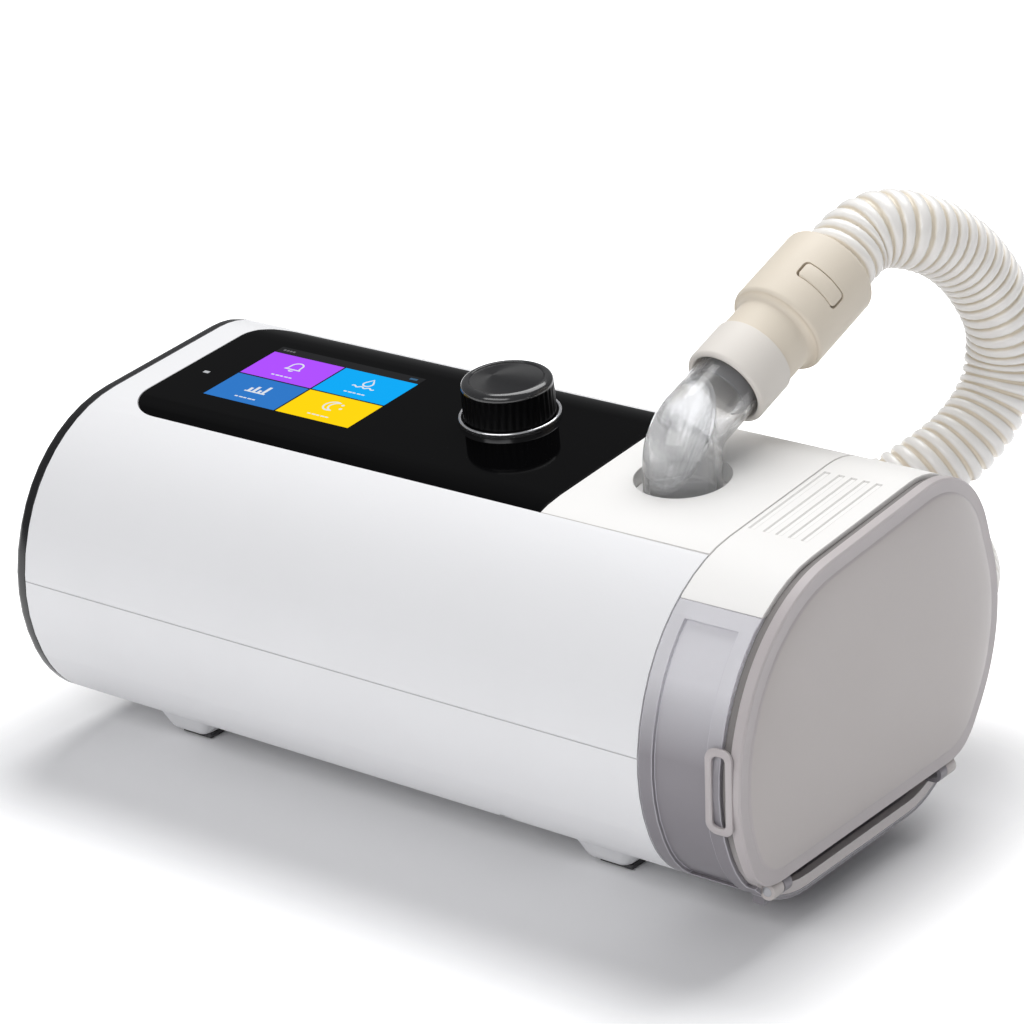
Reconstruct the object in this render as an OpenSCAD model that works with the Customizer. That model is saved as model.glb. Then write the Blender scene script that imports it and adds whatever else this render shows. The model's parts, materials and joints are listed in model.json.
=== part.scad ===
// Bilevel breathing machine with a humidifier tank, an outlet elbow and a ribbed hose.
// The case lies along X, its front faces -Y, and its feet stand on Z = 0.

/* [Case] */
// Length of the main housing between the end cap and the tank
housing_l = 240; // [232:1:270]
// Thickness of the black end cap
cap_l = 5; // [4:0.5:8]
// Depth of the case from front to back
case_d = 141; // [138:1:150]
// Height of the case above its feet
case_h = 106; // [103:1:114]
// Height of the feet
foot_h = 10; // [8:0.5:14]
// Thickness of the case walls
wall = 2.5; // [2.3:0.1:3]
// Height of the seam between the two housings above the case bottom
seam_h = 50; // [47:1:54]

/* [Case outline] */
// Radius of the lower front edge
lower_front_r = 38; // [34:1:40]
// Radius of the front belly
belly_r = 56; // [45:1:60]
// Radius of the upper front edge
upper_front_r = 52; // [40:1:54]
// Radius of the upper rear edge
upper_rear_r = 33; // [26:1:36]
// Radius of the rear bulge
rear_r = 53; // [45:1:55]
// Radius of the lower rear edge
lower_rear_r = 35; // [30:1:36]

/* [Control panel] */
// Length of the black glass panel
panel_l = 168; // [160:1:172]
// Depth of the panel
panel_d = 73; // [68:1:76]
// Thickness of the panel
panel_t = 1.6; // [1.2:0.1:1.8]
// Radius of the panel's two left corners
panel_r = 14; // [6:1:20]
// Length of the display
screen_l = 60; // [50:1:64]
// Height of the display
screen_d = 40; // [30:1:42]

/* [Knob] */
// Diameter of the knob
knob_dia = 29.2; // [24:0.2:32]
// Height of the knob's top above the panel
knob_h = 13.6; // [10:0.2:18]
// How far the knob travels when it is pressed
knob_travel = 0.8; // [0.4:0.1:1]
// Diameter of the knob's shaft
shaft_dia = 6; // [5:0.5:7]

/* [Outlet] */
// Outer diameter of the elbow where it stands in its port
elbow_dia = 24; // [22:0.5:25]
// Outer diameter of the elbow's arm
arm_dia = 22; // [20:0.5:23]
// Wall of the elbow
elbow_t = 2; // [1.5:0.1:2.5]
// Angle of the arm above the horizontal
arm_rise = 24.5; // [15:0.5:35]
// Turn of the arm from straight back towards the tank
arm_turn = 5.26; // [-15:0.01:15]
// Outer diameter of the sleeve on the arm
sleeve_dia = 27.5; // [26.5:0.5:29]
// Outer diameter of the hose collar
collar_dia = 32; // [30:0.5:35]
// Length of the hose collar
collar_l = 29; // [26:0.5:34]
// How far the collar's button travels
button_travel = 1.2; // [0.6:0.1:1.4]

/* [Hose] */
// Outer diameter of the hose over its ribs
hose_dia = 25; // [23:0.5:25.5]
// Bore of the hose
hose_bore = 19; // [16:0.5:19]
// Depth of the valleys between the ribs
rib_depth = 1.1; // [0.6:0.1:1.2]
// Distance between two ribs
rib_pitch = 4.5; // [4:0.1:6]
// Straight length of the last run of the folded hose
last_run = 195; // [180:1:225]
// Length of the cuff at the mask end
cuff_l = 50; // [44:1:60]
// Bore of the cuff for a standard breathing cone
cuff_bore = 22; // [21.5:0.1:22.5]

/* [Tank] */
// How far the tank and its end cover reach past the housing
tank_l = 37; // [35:0.5:44]
// Wall of the tank
tank_t = 3; // [2.5:0.1:3.5]
// Width of the tank's tongue inside the housing
tongue_d = 90.6; // [80:0.2:91]
// Height of the tongue
tongue_h = 54.6; // [50:0.2:56]
// Depth of the ribbed lid below the top
lid_drop = 14.3; // [10:0.1:20]
// How far the tank slides out
tank_travel = 55; // [52:1:80]

/* [Inside] */
// Diameter of the blower housing
blower_dia = 80; // [74:1:82]
// Diameter of the impeller
impeller_dia = 60; // [50:1:66]
// Number of impeller blades
blades = 9; // [5:1:11]
// Bore of the air ducts
duct_bore = 16; // [12:0.5:17]
// Thickness of the circuit board
board_t = 1.6; // [1:0.1:2]

/* [Hidden] */

// Clearances and small amounts
slip = 0.15;
seat = 0.1;
soft_gap = 0.3;
run_gap = 0.06;
bore_gap = 0.05;
over = 1;
far = 400;

// Stations along the case
total_l = cap_l + housing_l + tank_l;
cap_x = -total_l / 2;
housing_x = cap_x + cap_l;
housing_end = housing_x + housing_l;
tank_end = housing_end + tank_l;

// Corners of the case outline as depth, height and radius, clockwise from the lower front edge
half_d = case_d / 2;
case_z = foot_h;
case_top = foot_h + case_h;
corners = [
    [-half_d + 15.5, case_z, lower_front_r],
    [-half_d - 4.5, case_z + 45, belly_r],
    [-half_d + 15.5, case_top - 7.5, upper_front_r],
    [half_d - 15.5, case_top + 3, upper_rear_r],
    [half_d + 6.5, case_z + 46.5, rear_r],
    [half_d - 27.5, case_z, lower_rear_r]];
arc_step = 7.5;

function unit(v) = v / norm(v);
function flat(v) = [v[0], v[1]];
function wrap(i) = (i + len(corners)) % len(corners);
function edge(i) = unit(flat(corners[wrap(i + 1)]) - flat(corners[wrap(i)]));
function inward(v) = [v[1], -v[0]];
function turned(v, a) = [v[0] * cos(a) - v[1] * sin(a), v[0] * sin(a) + v[1] * cos(a)];
function corner_in(i, t) =
    let (na = inward(edge(i - 1)), nb = inward(edge(i)))
    flat(corners[i]) + (na + nb) * t / (1 + na * nb);
function corner_arc(i, t) =
    let (a = edge(i - 1), b = edge(i), r = corners[i][2] - t, bend = acos(a * b))
    let (start = corner_in(i, t) - a * r * tan(bend / 2), mid = start + inward(a) * r)
    let (n = ceil(bend / arc_step))
    [for (k = [0:n]) mid + turned(start - mid, -bend * k / n)];
function outline(t = 0) = [for (i = [0:len(corners) - 1]) each corner_arc(i, t)];

// The sloping top plane between the two upper corners
top_tilt = atan((corners[3][1] - corners[2][1]) / (corners[3][0] - corners[2][0]));
function top_z(y) = corners[2][1] + (y - corners[2][0]) * tan(top_tilt);

// Case details
seam_z = case_z + seam_h;
bay_x = housing_end - 53;
bay_t = 2;
riser_x = bay_x - 11;
foot_l = 26;
foot_narrow = 5;
foot_lean = 3;
foot_d = 20;
foot_merge = 3;
foot_x = [housing_x + 35, housing_end - 36];
foot_y = [-half_d + 32.5, half_d - 36.5 - foot_d];
pad_inset = 2;
pad_t = 1.6;
pad_proud = 0.6;
boss_r = 4;
screw_r = 1.5;
screw_head_r = 2.9;
screw_head_h = 2.4;
screw_grip = 10;
screw_deep = 13;
boss_spots = [[housing_x + 10, -45], [housing_x + 10, 45], [housing_end - 61, -52], [housing_end - 61, 52]];
spigot_l = 5;
spigot_t = 1.6;

// Control panel, display and board
panel_x = housing_x + 11.5;
panel_y = -half_d + 37.8;
panel_cut = panel_t + seat;
panel_ledge = 4;
screen_x = panel_x + 19.5;
screen_y = panel_y + 18.5;
display_rim = 3;
display_t = 3;
lamp_x = panel_x + 9.2;
lamp_y = panel_y + 31.8;
lamp_r = 2;
board_drop = 16;
board_x = panel_x + 4.5;
board_gap = 5;
board_l = riser_x - board_gap - board_x;
board_y = -34;
board_d = 76;
post_r = 2.8;
post_in = 4;

// Knob and encoder, in the frame of the sloping top
knob_x = panel_x + 121.5;
knob_y = panel_y + 47.3;
knob_gap = 1.2;
knob_bevel = 1.8;
knob_dish = 0.5;
knob_bore_depth = 8;
ring_out = 1.6;
ring_h = 2.2;
shaft_low = 11;
encoder_r = 8;
encoder_wall = 1.8;
encoder_roof = 5;
rotor_h = 3.6;

// Outlet port
port_x = housing_end - 34.5;
port_y = 3.8;
recess_r = 14.75;
recess_wall = 1.75;
recess_low = 10;
socket_r = recess_r - 0.25;
socket_low = 17;
socket_top = 5;
flange_r = 20;
flange_t = 2;
port_z = top_z(port_y);
socket_z = port_z - socket_low;
corner_z = port_z + 12.9;
plate_x = panel_x + panel_l + slip;
plate_y = panel_y;
plate_d = panel_d + 6.7;

// Arm, sleeve, neck and collar, measured along the arm from the elbow's corner
arm_dir = [sin(arm_turn) * cos(arm_rise), cos(arm_turn) * cos(arm_rise), sin(arm_rise)];
corner_p = [port_x, port_y, corner_z];
sleeve_at = 22;
neck_at = 37;
collar_at = 49;
collar_end = collar_at + collar_l;
neck_dia = sleeve_dia - 1.5;
arm_end = neck_at - 0.5;
upright_turn = 200;
arm_seam_turn = 50;
hose_in = 10.5;
hose_seat = collar_end - hose_in;
hose_slip = 0.2;
button_at = collar_at + 13.5;
button_side = 48;
button_w = 16;
button_l = 6;
button_t = 3.4;
button_proud = 0.5;
button_room = 0.3;

// Hose route in hand-chosen points, from behind the collar to the folded part
route = [
    [81, 96, 167.5], [86.5, 106, 165], [90.5, 119, 158], [94, 132, 146], [97.5, 141.5, 129],
    [96.5, 145, 114], [95.5, 140, 100.5], [92, 128, 89.5], [84, 113, 80.5], [74.5, 104, 73.5],
    [63, 99.5, 67], [50, 99, 60.5], [36, 102, 54], [22, 108, 47], [8, 116.4, 39.8], [-6, 123.6, 32],
    [-21, 128.4, 24.2], [-36, 129.6, 18.6], [-52, 129.6, 15.6]];
hank_x = -105;
hank_y = 78;
hank_z = 14.2;
run_left = -147;
run_right = -5;
run_pitch = 25.8;
fold_r = 73;
fold_steps = 10;
tube_sides = 8;
hank_sides = 6;
curve_steps = 6;
bore_every = 3;
tie_w = 14;
tie_t = 1.2;
tie_x = -112;
cuff_grip = 15;
cuff_r = 13.8;
cuff_ridge = 0.5;
ridge_w = 2.5;
ridge_pitch = 6;
ridges = 4;
cuff_depth = 25;

// Tank, tongue and bay
tank_gap = 0.2;
tank_x = housing_end + tank_gap;
flange_l = 4;
cover_rise = 2;
cover_x = tank_end - cover_rise - flange_l;
gasket_room = 3;
base_end = cover_x - gasket_room;
lid_l = base_end - housing_end;
gasket_t = 2.7;
gasket_in = 1.5;
gasket_wide = 3.5;
dome_in = 4.5;
cover_low = 12;
cover_t = 2.5;
cover_hollow = 3.6;
hinge_x = cover_x + 1.5;
hinge_z = case_z + 10;
hinge_r = 2.8;
pin_r = 1.5;
knuckle_l = 5;
ear_l = 3.7;
ear_root = 4;
hinge_y = [-half_d + 16.5, half_d - 29.5];
ear_gap = 0.3;
ear_y = [hinge_y[0] + knuckle_l + ear_gap, hinge_y[1] - ear_l - ear_gap];
pin_y = [hinge_y[0], ear_y[1] - 0.2];
pin_l = knuckle_l + ear_l + ear_gap + 0.2;
lip_t = 1.4;
side_recess_x = housing_end + 5;
side_recess_l = base_end - side_recess_x - 5;
side_recess_low = 8;
side_recess_h = 80;
side_recess_t = 1.3;
groove_x = [3, 8, 12.3, 16.6, 21];
groove_w = 1.8;
groove_t = 1;
groove_y = panel_y + 17;
groove_l = 40.5;
clip_x = cover_x - 7.5;
clip_l = 9;
clip_z = 34;
clip_h = 26;
clip_t = 1.5;
clip_rim = 2;
bay_clear = 0.7;
bay_z = case_z + 14;
bay_in_d = tongue_d + 2 * bay_clear;
bay_in_h = tongue_h + 2 * bay_clear;
bay_in_z = bay_z + bay_t;
bay_top = bay_in_z + bay_in_h + bay_t;
bay_end = housing_end - wall - tank_gap;
tongue_x = bay_x + 2 * bay_t;
tongue_t = 2;
tongue_z = bay_in_z + bay_clear;
vent_y = 22;
vent_z = bay_in_z + 40;
vent_r = duct_bore / 2;
seal_t = 4;
heater_l = 36;
heater_d = 72;
heater_t = 2.2;
heater_x = bay_x + 10;
tank_plate_t = 2.3;
tank_plate_rim = 2;

// Blower and ducts
duct_t = 2;
blower_x = housing_x + 49;
blower_low = case_z + 10;
blower_h = vent_z + duct_bore / 2 + duct_t + 2 - blower_low;
blower_wall = 3;
blower_r = blower_dia / 2;
impeller_low = 38;
impeller_h = 12;
motor_r = 20;
motor_h = 32;
motor_shaft_r = 2.5;
inlet_r = 15;
cover_plate_t = 3;
duct_start = blower_x + blower_r + 4;
mount_r = [14, 22];
sensor_l = 24;
sensor_d = 16;
sensor_h = 7;
sensor_grip = 3;

// Channel from the tank back to the outlet port
riser_d = 22;
channel_t = 2;
channel_top = socket_z;
channel_x2 = port_x + 20;
channel_y = port_y - 17.8;
channel_y2 = vent_y + riser_d / 2 + 1;

// Intake at the rear left
intake_x = housing_x + 17;
intake_w = 46;
intake_z = case_z + 30;
intake_h = 40;
intake_rim = 4;
intake_y = half_d - 14.5;
filter_t = 5;
foam_gap = 3.4;
foam_t = intake_y - seat - blower_r - foam_gap;
hood_rim = 2;
hood_r = 5;
slots = 7;
slot_pitch = 4.6;
slot_h = 2;

// Card slot and power inlet in the rear wall
card_x = housing_x + 97;
card_z = case_z + 42;
card_w = 24;
card_h = 2.1;
card_l = 32;
card_out = half_d - 0.9;
card_box_t = 2;
card_play = 0.2;
jack_x = housing_x + 135;
jack_z = case_z + 40;
jack_r = 5.7;
jack_bore_r = 3.7;
jack_pin_r = 1.2;
jack_depth = 11;
jack_box = 14;
jack_face = 0.4;
rear_depth = half_d - 18.5;

module along_x(x, l) translate([x, 0, 0]) rotate([90, 0, 90]) linear_extrude(l) children();
module slab(x, l, t = 0) along_x(x, l) polygon(outline(t));
module shell(x, l, t0, t1) {
    difference() {
        slab(x, l, t0);
        slab(x - over, l + 2 * over, t1);
    }
}
module on_top(x, y) translate([x, y, top_z(y)]) rotate([top_tilt, 0, 0]) children();
module on_arm(t) translate(corner_p + arm_dir * t) rotate([0, 90 - arm_rise, 90 - arm_turn]) children();
module at_blower(z) translate([blower_x, 0, z]) children();
module x_tube(x, y, z, l, r) translate([x, y, z]) rotate([0, 90, 0]) cylinder(h = l, r = r, $fn = 48);
module y_tube(x, y, z, l, r) translate([x, y, z]) rotate([-90, 0, 0]) cylinder(h = l, r = r, $fn = 48);

// Plan shapes of the panel and of the plate beside it
module panel_plan(grow = 0) {
    r = panel_r;
    l = panel_l + 2 * grow;
    d = panel_d + 2 * grow;
    translate([panel_x - grow, panel_y - grow]) {
        translate([r, 0]) square([l - r, d]);
        translate([0, r]) square([r, d - 2 * r]);
        for (y = [r, d - r]) translate([r, y]) circle(r, $fn = 64);
    }
}
module plate_plan(grow = 0) {
    translate([plate_x - grow, plate_y - grow])
        square([housing_end - seat - plate_x + 2 * grow, plate_d + 2 * grow]);
}
module hood_plan(grow = 0) {
    w = intake_w + 2 * hood_rim + 2 * grow;
    h = intake_h + 2 * hood_rim + 2 * grow;
    translate([intake_x - hood_rim - grow, intake_z - hood_rim - grow]) {
        translate([hood_r, 0]) square([w - 2 * hood_r, h]);
        translate([0, hood_r]) square([w, h - 2 * hood_r]);
        for (x = [hood_r, w - hood_r], z = [hood_r, h - hood_r]) translate([x, z]) circle(hood_r, $fn = 40);
    }
}
module upright(z = 0) translate([0, 0, z]) linear_extrude(far) children();
module rearward(y = 0) translate([0, far + y, 0]) rotate([90, 0, 0]) linear_extrude(far) children();
module above_seam() translate([-far / 2, -far / 2, seam_z]) cube([far, far, far]);

// Bosses for the case screws and posts for the circuit board
module bosses() {
    intersection() {
        slab(housing_x, housing_l, wall - 0.5);
        for (p = boss_spots) translate([p[0], p[1], case_z]) cylinder(h = case_h + over, r = boss_r, $fn = 40);
    }
}
module board_spots() {
    for (x = [board_x + post_in, board_x + board_l - post_in], y = [board_y + post_in, board_y + board_d - post_in])
        on_top(x, y) children();
}
module board_posts() {
    intersection() {
        slab(housing_x, housing_l, wall - 0.4);
        board_spots() translate([0, 0, -board_drop + seat]) cylinder(h = board_drop, r = post_r, $fn = 32);
    }
}
module foot_side(w, slope) {
    h = foot_h + foot_merge - pad_proud;
    polygon([[-w / 2 + slope, 0], [w / 2 - slope, 0], [w / 2, h], [-w / 2, h]]);
}
module feet() {
    for (x = foot_x, y = foot_y) translate([x, y + foot_d / 2, pad_proud]) intersection() {
        translate([0, foot_d / 2, 0]) rotate([90, 0, 0]) linear_extrude(foot_d) foot_side(foot_l, foot_narrow);
        translate([-foot_l / 2, 0, 0]) rotate([90, 0, 90]) linear_extrude(foot_l) foot_side(foot_d, foot_lean);
    }
}
module pad(x, y, grow, h) {
    l = foot_l - 2 * (foot_narrow + pad_inset) + 2 * grow;
    d = foot_d - 2 * (foot_lean + pad_inset) + 2 * grow;
    translate([x - l / 2, y + foot_d / 2 - d / 2, 0]) cube([l, d, h]);
}
module bay_ribs() {
    for (x = [bay_x + 6, bay_end - 10]) translate([x, -34, case_z + wall - 0.5])
        cube([2, 62, bay_z - seat - case_z - wall + 0.5]);
}

// Everything that is cut through the two housings
module case_cuts() {
    difference() {
        intersection() {
            upright(seam_z) panel_plan();
            slab(housing_x, housing_l, -over);
        }
        slab(housing_x, housing_l, panel_cut);
    }
    intersection() {
        upright(seam_z) panel_plan(-panel_ledge);
        slab(housing_x, housing_l - wall, wall + over);
    }
    upright(case_top - 2 * wall - panel_cut) panel_plan(-panel_ledge);
    difference() {
        upright(seam_z) plate_plan(slip + seat);
        slab(housing_x, housing_l + over, panel_cut);
    }
    translate([port_x, port_y, socket_z]) cylinder(h = far, r = recess_r + recess_wall + slip, $fn = 72);
    translate([housing_end - wall - over, -bay_in_d / 2, bay_in_z]) cube([wall + 2 * over, bay_in_d, bay_in_h]);
    difference() {
        rearward() hood_plan(slip);
        slab(housing_x, housing_l, panel_cut);
    }
    rearward(intake_y) translate([intake_x + intake_rim, intake_z + intake_rim])
        square([intake_w - 2 * intake_rim, intake_h - 2 * intake_rim]);
    translate([card_x - card_play, half_d - 12, card_z - card_play])
        cube([card_w + 2 * card_play, far, card_h + 2 * card_play]);
    y_tube(jack_x, half_d - 12, jack_z, far, jack_r + slip);
}
module screw_cuts() {
    for (p = boss_spots) translate([p[0], p[1], 0]) {
        cylinder(h = seam_z - screw_grip, r = screw_head_r + 0.4, $fn = 40);
        cylinder(h = seam_z + screw_deep, r = screw_r + bore_gap, $fn = 32);
    }
}

module left_end_cap() {
    color([0.05, 0.05, 0.06]) {
        hull() {
            slab(cap_x, 0.05, 2.6);
            slab(cap_x + 0.5, 0.05, 1.2);
            slab(cap_x + 1.4, 0.05, 0.35);
            slab(cap_x + 2.6, cap_l - 2.6);
        }
        shell(housing_x - over, spigot_l + over, wall + slip, wall + slip + spigot_t);
    }
}
module upper_housing() {
    color([0.93, 0.93, 0.92]) difference() {
        union() {
            difference() {
                slab(housing_x, housing_l);
                slab(housing_x - over, housing_l + over - wall, wall);
            }
            bosses();
            board_posts();
        }
        translate([-far / 2, -far / 2, seam_z - far]) cube([far, far, far]);
        case_cuts();
        screw_cuts();
    }
}
module lower_housing() {
    color([0.93, 0.93, 0.92]) difference() {
        union() {
            difference() {
                slab(housing_x, housing_l);
                slab(housing_x - over, housing_l + over - wall, wall);
            }
            bosses();
            bay_ribs();
            difference() {
                feet();
                slab(housing_x, housing_l, wall / 2);
            }
        }
        above_seam();
        case_cuts();
        screw_cuts();
        for (x = foot_x, y = foot_y) pad(x, y, slip, pad_t + seat);
    }
}
module top_plate() {
    color([0.95, 0.94, 0.92]) difference() {
        union() {
            intersection() {
                shell(housing_x, housing_l, 0, panel_t);
                upright(seam_z) plate_plan();
            }
            intersection() {
                slab(housing_x, housing_l, panel_t / 2);
                translate([port_x, port_y, port_z - recess_low])
                    cylinder(h = 2 * recess_low, r = recess_r + recess_wall, $fn = 72);
            }
        }
        translate([port_x, port_y, seam_z]) cylinder(h = far, r = recess_r, $fn = 72);
    }
}
module foot_pads() {
    color([0.15, 0.15, 0.16]) for (x = foot_x, y = foot_y) pad(x, y, 0, pad_t);
}
module housing_screws() {
    color([0.7, 0.7, 0.72]) for (p = boss_spots) translate([p[0], p[1], seam_z - screw_grip - screw_head_h]) {
        difference() {
            cylinder(h = screw_head_h - seat, r = screw_head_r, $fn = 40);
            translate([0, 0, -over]) cylinder(h = 1.2 + over, r = 1.2, $fn = 6);
        }
        cylinder(h = screw_head_h + screw_grip + screw_deep - over, r = screw_r, $fn = 32);
    }
}

module control_panel() {
    color([0.02, 0.02, 0.025]) difference() {
        intersection() {
            shell(housing_x, housing_l, 0, panel_t);
            upright(seam_z) panel_plan(-slip);
        }
        on_top(knob_x, knob_y) translate([0, 0, -board_drop]) cylinder(h = far, r = shaft_dia / 2 + 0.5, $fn = 40);
    }
}
module display_module() {
    color([0.15, 0.3, 0.6]) on_top(screen_x, screen_y)
        translate([-display_rim, -display_rim, -panel_cut - display_t - seat])
        cube([screen_l + 2 * display_rim, screen_d + 2 * display_rim, display_t]);
}
module status_lamp() {
    color([0.9, 0.95, 1]) on_top(lamp_x, lamp_y) translate([0, 0, -board_drop + seat])
        cylinder(h = board_drop - panel_cut - 2 * seat, r = lamp_r, $fn = 32);
}
module main_board() {
    color([0.1, 0.35, 0.2]) difference() {
        on_top(board_x, board_y) translate([0, 0, -board_drop - board_t]) cube([board_l, board_d, board_t]);
        board_spots() translate([0, 0, -far]) cylinder(h = far, r = 1.3, $fn = 24);
    }
}
module knob() {
    r = knob_dia / 2;
    top = knob_h - knob_gap;
    color([0.06, 0.06, 0.07]) on_top(knob_x, knob_y) translate([0, 0, knob_gap]) difference() {
        rotate_extrude($fn = 96) polygon([[0, 0], [r - 0.4, 0], [r, 0.4], [r, top - knob_bevel],
            [r - knob_bevel, top], [r - knob_bevel - 1, top - knob_dish], [0, top - knob_dish]]);
        translate([0, 0, -over]) cylinder(h = knob_bore_depth + over, r = shaft_dia / 2 + bore_gap, $fn = 48);
    }
}
module encoder_shaft() {
    color([0.7, 0.7, 0.72]) on_top(knob_x, knob_y) translate([0, 0, -shaft_low])
        cylinder(h = shaft_low + knob_gap + knob_bore_depth - seat, r = shaft_dia / 2, $fn = 48);
}
module knob_ring() {
    r = knob_dia / 2;
    color([0.85, 0.85, 0.87]) on_top(knob_x, knob_y) translate([0, 0, bore_gap]) difference() {
        cylinder(h = ring_h, r = r + ring_out, $fn = 96);
        translate([0, 0, -over]) cylinder(h = ring_h + 2 * over, r = r + 0.5, $fn = 96);
    }
}
module encoder_body() {
    low = -board_drop + seat;
    color([0.3, 0.3, 0.32]) on_top(knob_x, knob_y) difference() {
        translate([0, 0, low]) cylinder(h = -low - panel_cut - 2 * seat, r = encoder_r, $fn = 48);
        translate([0, 0, -shaft_low - over]) cylinder(h = shaft_low + over - encoder_roof, r = encoder_r - encoder_wall);
        translate([0, 0, -shaft_low]) cylinder(h = far, r = shaft_dia / 2 + run_gap, $fn = 48);
    }
}
module encoder_rotor() {
    color([0.75, 0.6, 0.3]) on_top(knob_x, knob_y) translate([0, 0, -shaft_low - over + seat]) difference() {
        cylinder(h = rotor_h, r = encoder_r - encoder_wall - 0.2, $fn = 48);
        translate([0, 0, -over]) cylinder(h = rotor_h + 2 * over, r = shaft_dia / 2 + run_gap, $fn = 48);
    }
}

module blower_mount() {
    color([0.2, 0.2, 0.2]) at_blower(case_z + wall) difference() {
        cylinder(h = blower_low - case_z - wall - seat, r = mount_r[1], $fn = 64);
        translate([0, 0, -over]) cylinder(h = far, r = mount_r[0], $fn = 64);
    }
}
module blower_housing() {
    color([0.25, 0.27, 0.3]) difference() {
        union() {
            at_blower(blower_low) cylinder(h = blower_h, r = blower_r, $fn = 96);
            x_tube(blower_x, -vent_y, vent_z, duct_start - blower_x, vent_r + duct_t);
        }
        at_blower(blower_low + blower_wall) cylinder(h = blower_h, r = blower_r - blower_wall, $fn = 96);
        x_tube(blower_x, -vent_y, vent_z, far, vent_r);
    }
}
module blower_cover() {
    color([0.3, 0.32, 0.35]) at_blower(blower_low + blower_h) difference() {
        cylinder(h = cover_plate_t, r = blower_r, $fn = 96);
        translate([0, 0, -over]) cylinder(h = far, r = inlet_r, $fn = 64);
    }
}
module blower_motor() {
    color([0.6, 0.6, 0.62]) at_blower(blower_low + blower_wall) difference() {
        cylinder(h = motor_h, r = motor_r, $fn = 64);
        translate([0, 0, 5]) cylinder(h = far, r = motor_shaft_r + run_gap, $fn = 40);
    }
}
module motor_shaft() {
    color([0.8, 0.8, 0.82]) at_blower(blower_low + blower_wall + 6)
        cylinder(h = impeller_low - blower_wall - 6 + impeller_h, r = motor_shaft_r, $fn = 40);
}
module impeller() {
    r = impeller_dia / 2;
    color([0.85, 0.86, 0.9]) at_blower(blower_low + impeller_low) difference() {
        union() {
            cylinder(h = 2, r = r, $fn = 96);
            cylinder(h = impeller_h, r = 8, $fn = 48);
            for (i = [0:blades - 1]) rotate([0, 0, 360 * i / blades]) translate([6, -0.6, over])
                rotate([0, 0, 12]) cube([r - 8.5, 1.2, impeller_h - 2 * over]);
        }
        translate([0, 0, -over]) cylinder(h = far, r = motor_shaft_r + bore_gap, $fn = 40);
    }
}

module filter_frame() {
    color([0.4, 0.42, 0.45]) intersection() {
        slab(housing_x, housing_l, wall + seat);
        difference() {
            translate([intake_x, intake_y, intake_z]) cube([intake_w, half_d, intake_h]);
            translate([intake_x + intake_rim, intake_y - over, intake_z + intake_rim])
                cube([intake_w - 2 * intake_rim, half_d + far, intake_h - 2 * intake_rim]);
        }
    }
}
module intake_filter() {
    color([0.92, 0.92, 0.88]) translate([intake_x + intake_rim + soft_gap / 2, intake_y + 0.8, intake_z + intake_rim + soft_gap / 2])
        cube([intake_w - 2 * intake_rim - soft_gap, filter_t, intake_h - 2 * intake_rim - soft_gap]);
}
module silencer_foam() {
    color([0.25, 0.25, 0.27]) translate([intake_x + 1, intake_y - foam_t - seat, intake_z + 1])
        cube([intake_w - 2, foam_t, intake_h - 2]);
}
module filter_cover() {
    color([0.9, 0.9, 0.89]) difference() {
        intersection() {
            shell(housing_x, housing_l, 0, panel_t);
            rearward() hood_plan();
        }
        for (i = [0:slots - 1])
            translate([intake_x + 6, 0, intake_z + intake_h / 2 + (i - (slots - 1) / 2) * slot_pitch - slot_h / 2])
                cube([intake_w - 12, far, slot_h]);
    }
}
module card_slot() {
    w = card_w + 2 * (card_play + card_box_t);
    h = card_h + 2 * (card_play + card_box_t);
    color([0.75, 0.76, 0.78]) difference() {
        intersection() {
            slab(housing_x, housing_l, wall + seat);
            translate([card_x - card_play - card_box_t, card_out - card_l - 3, card_z - card_play - card_box_t])
                cube([w, far, h]);
        }
        translate([card_x - card_play, card_out - card_l - 0.5, card_z - card_play])
            cube([card_w + 2 * card_play, far, card_h + 2 * card_play]);
    }
}
module memory_card() {
    color([0.1, 0.2, 0.45]) translate([card_x, card_out - card_l, card_z]) cube([card_w, card_l, card_h]);
}
module power_inlet() {
    color([0.08, 0.08, 0.09]) {
        difference() {
            union() {
                intersection() {
                    slab(housing_x, housing_l, wall + seat);
                    translate([jack_x - jack_box / 2, rear_depth, jack_z - jack_box / 2])
                        cube([jack_box, far, jack_box]);
                }
                intersection() {
                    slab(housing_x, housing_l, jack_face);
                    y_tube(jack_x, rear_depth, jack_z, far, jack_r);
                }
            }
            y_tube(jack_x, half_d - 2 - jack_depth, jack_z, far, jack_bore_r);
        }
        y_tube(jack_x, half_d - 3 - jack_depth, jack_z, jack_depth - 1, jack_pin_r);
    }
}
module outlet_duct() {
    color([0.5, 0.52, 0.55]) difference() {
        x_tube(duct_start + seat, -vent_y, vent_z, bay_x - seat - duct_start - seat, vent_r + duct_t);
        x_tube(duct_start - over, -vent_y, vent_z, far, vent_r);
    }
}
module flow_sensor() {
    x = (duct_start + bay_x) / 2;
    z = vent_z + vent_r + duct_t;
    color([0.1, 0.35, 0.2]) difference() {
        translate([x - sensor_l / 2, -vent_y - sensor_d / 2, z - sensor_grip])
            cube([sensor_l, sensor_d, sensor_grip + sensor_h]);
        x_tube(x - sensor_l, -vent_y, vent_z, 2 * sensor_l, vent_r + duct_t + seat);
    }
}
module tank_bay() {
    color([0.55, 0.57, 0.6]) difference() {
        translate([bay_x, -bay_in_d / 2 - bay_t, bay_z])
            cube([bay_end - bay_x, bay_in_d + 2 * bay_t, bay_top - bay_z]);
        translate([bay_x + bay_t, -bay_in_d / 2, bay_in_z]) cube([far, bay_in_d, bay_in_h]);
        for (y = [-vent_y, vent_y]) x_tube(bay_x - over, y, vent_z, bay_t + 2 * over, vent_r);
        translate([heater_x - slip, -heater_d / 2 - slip, bay_z - over])
            cube([heater_l + 2 * slip, heater_d + 2 * slip, bay_t + 2 * over]);
    }
}
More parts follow.
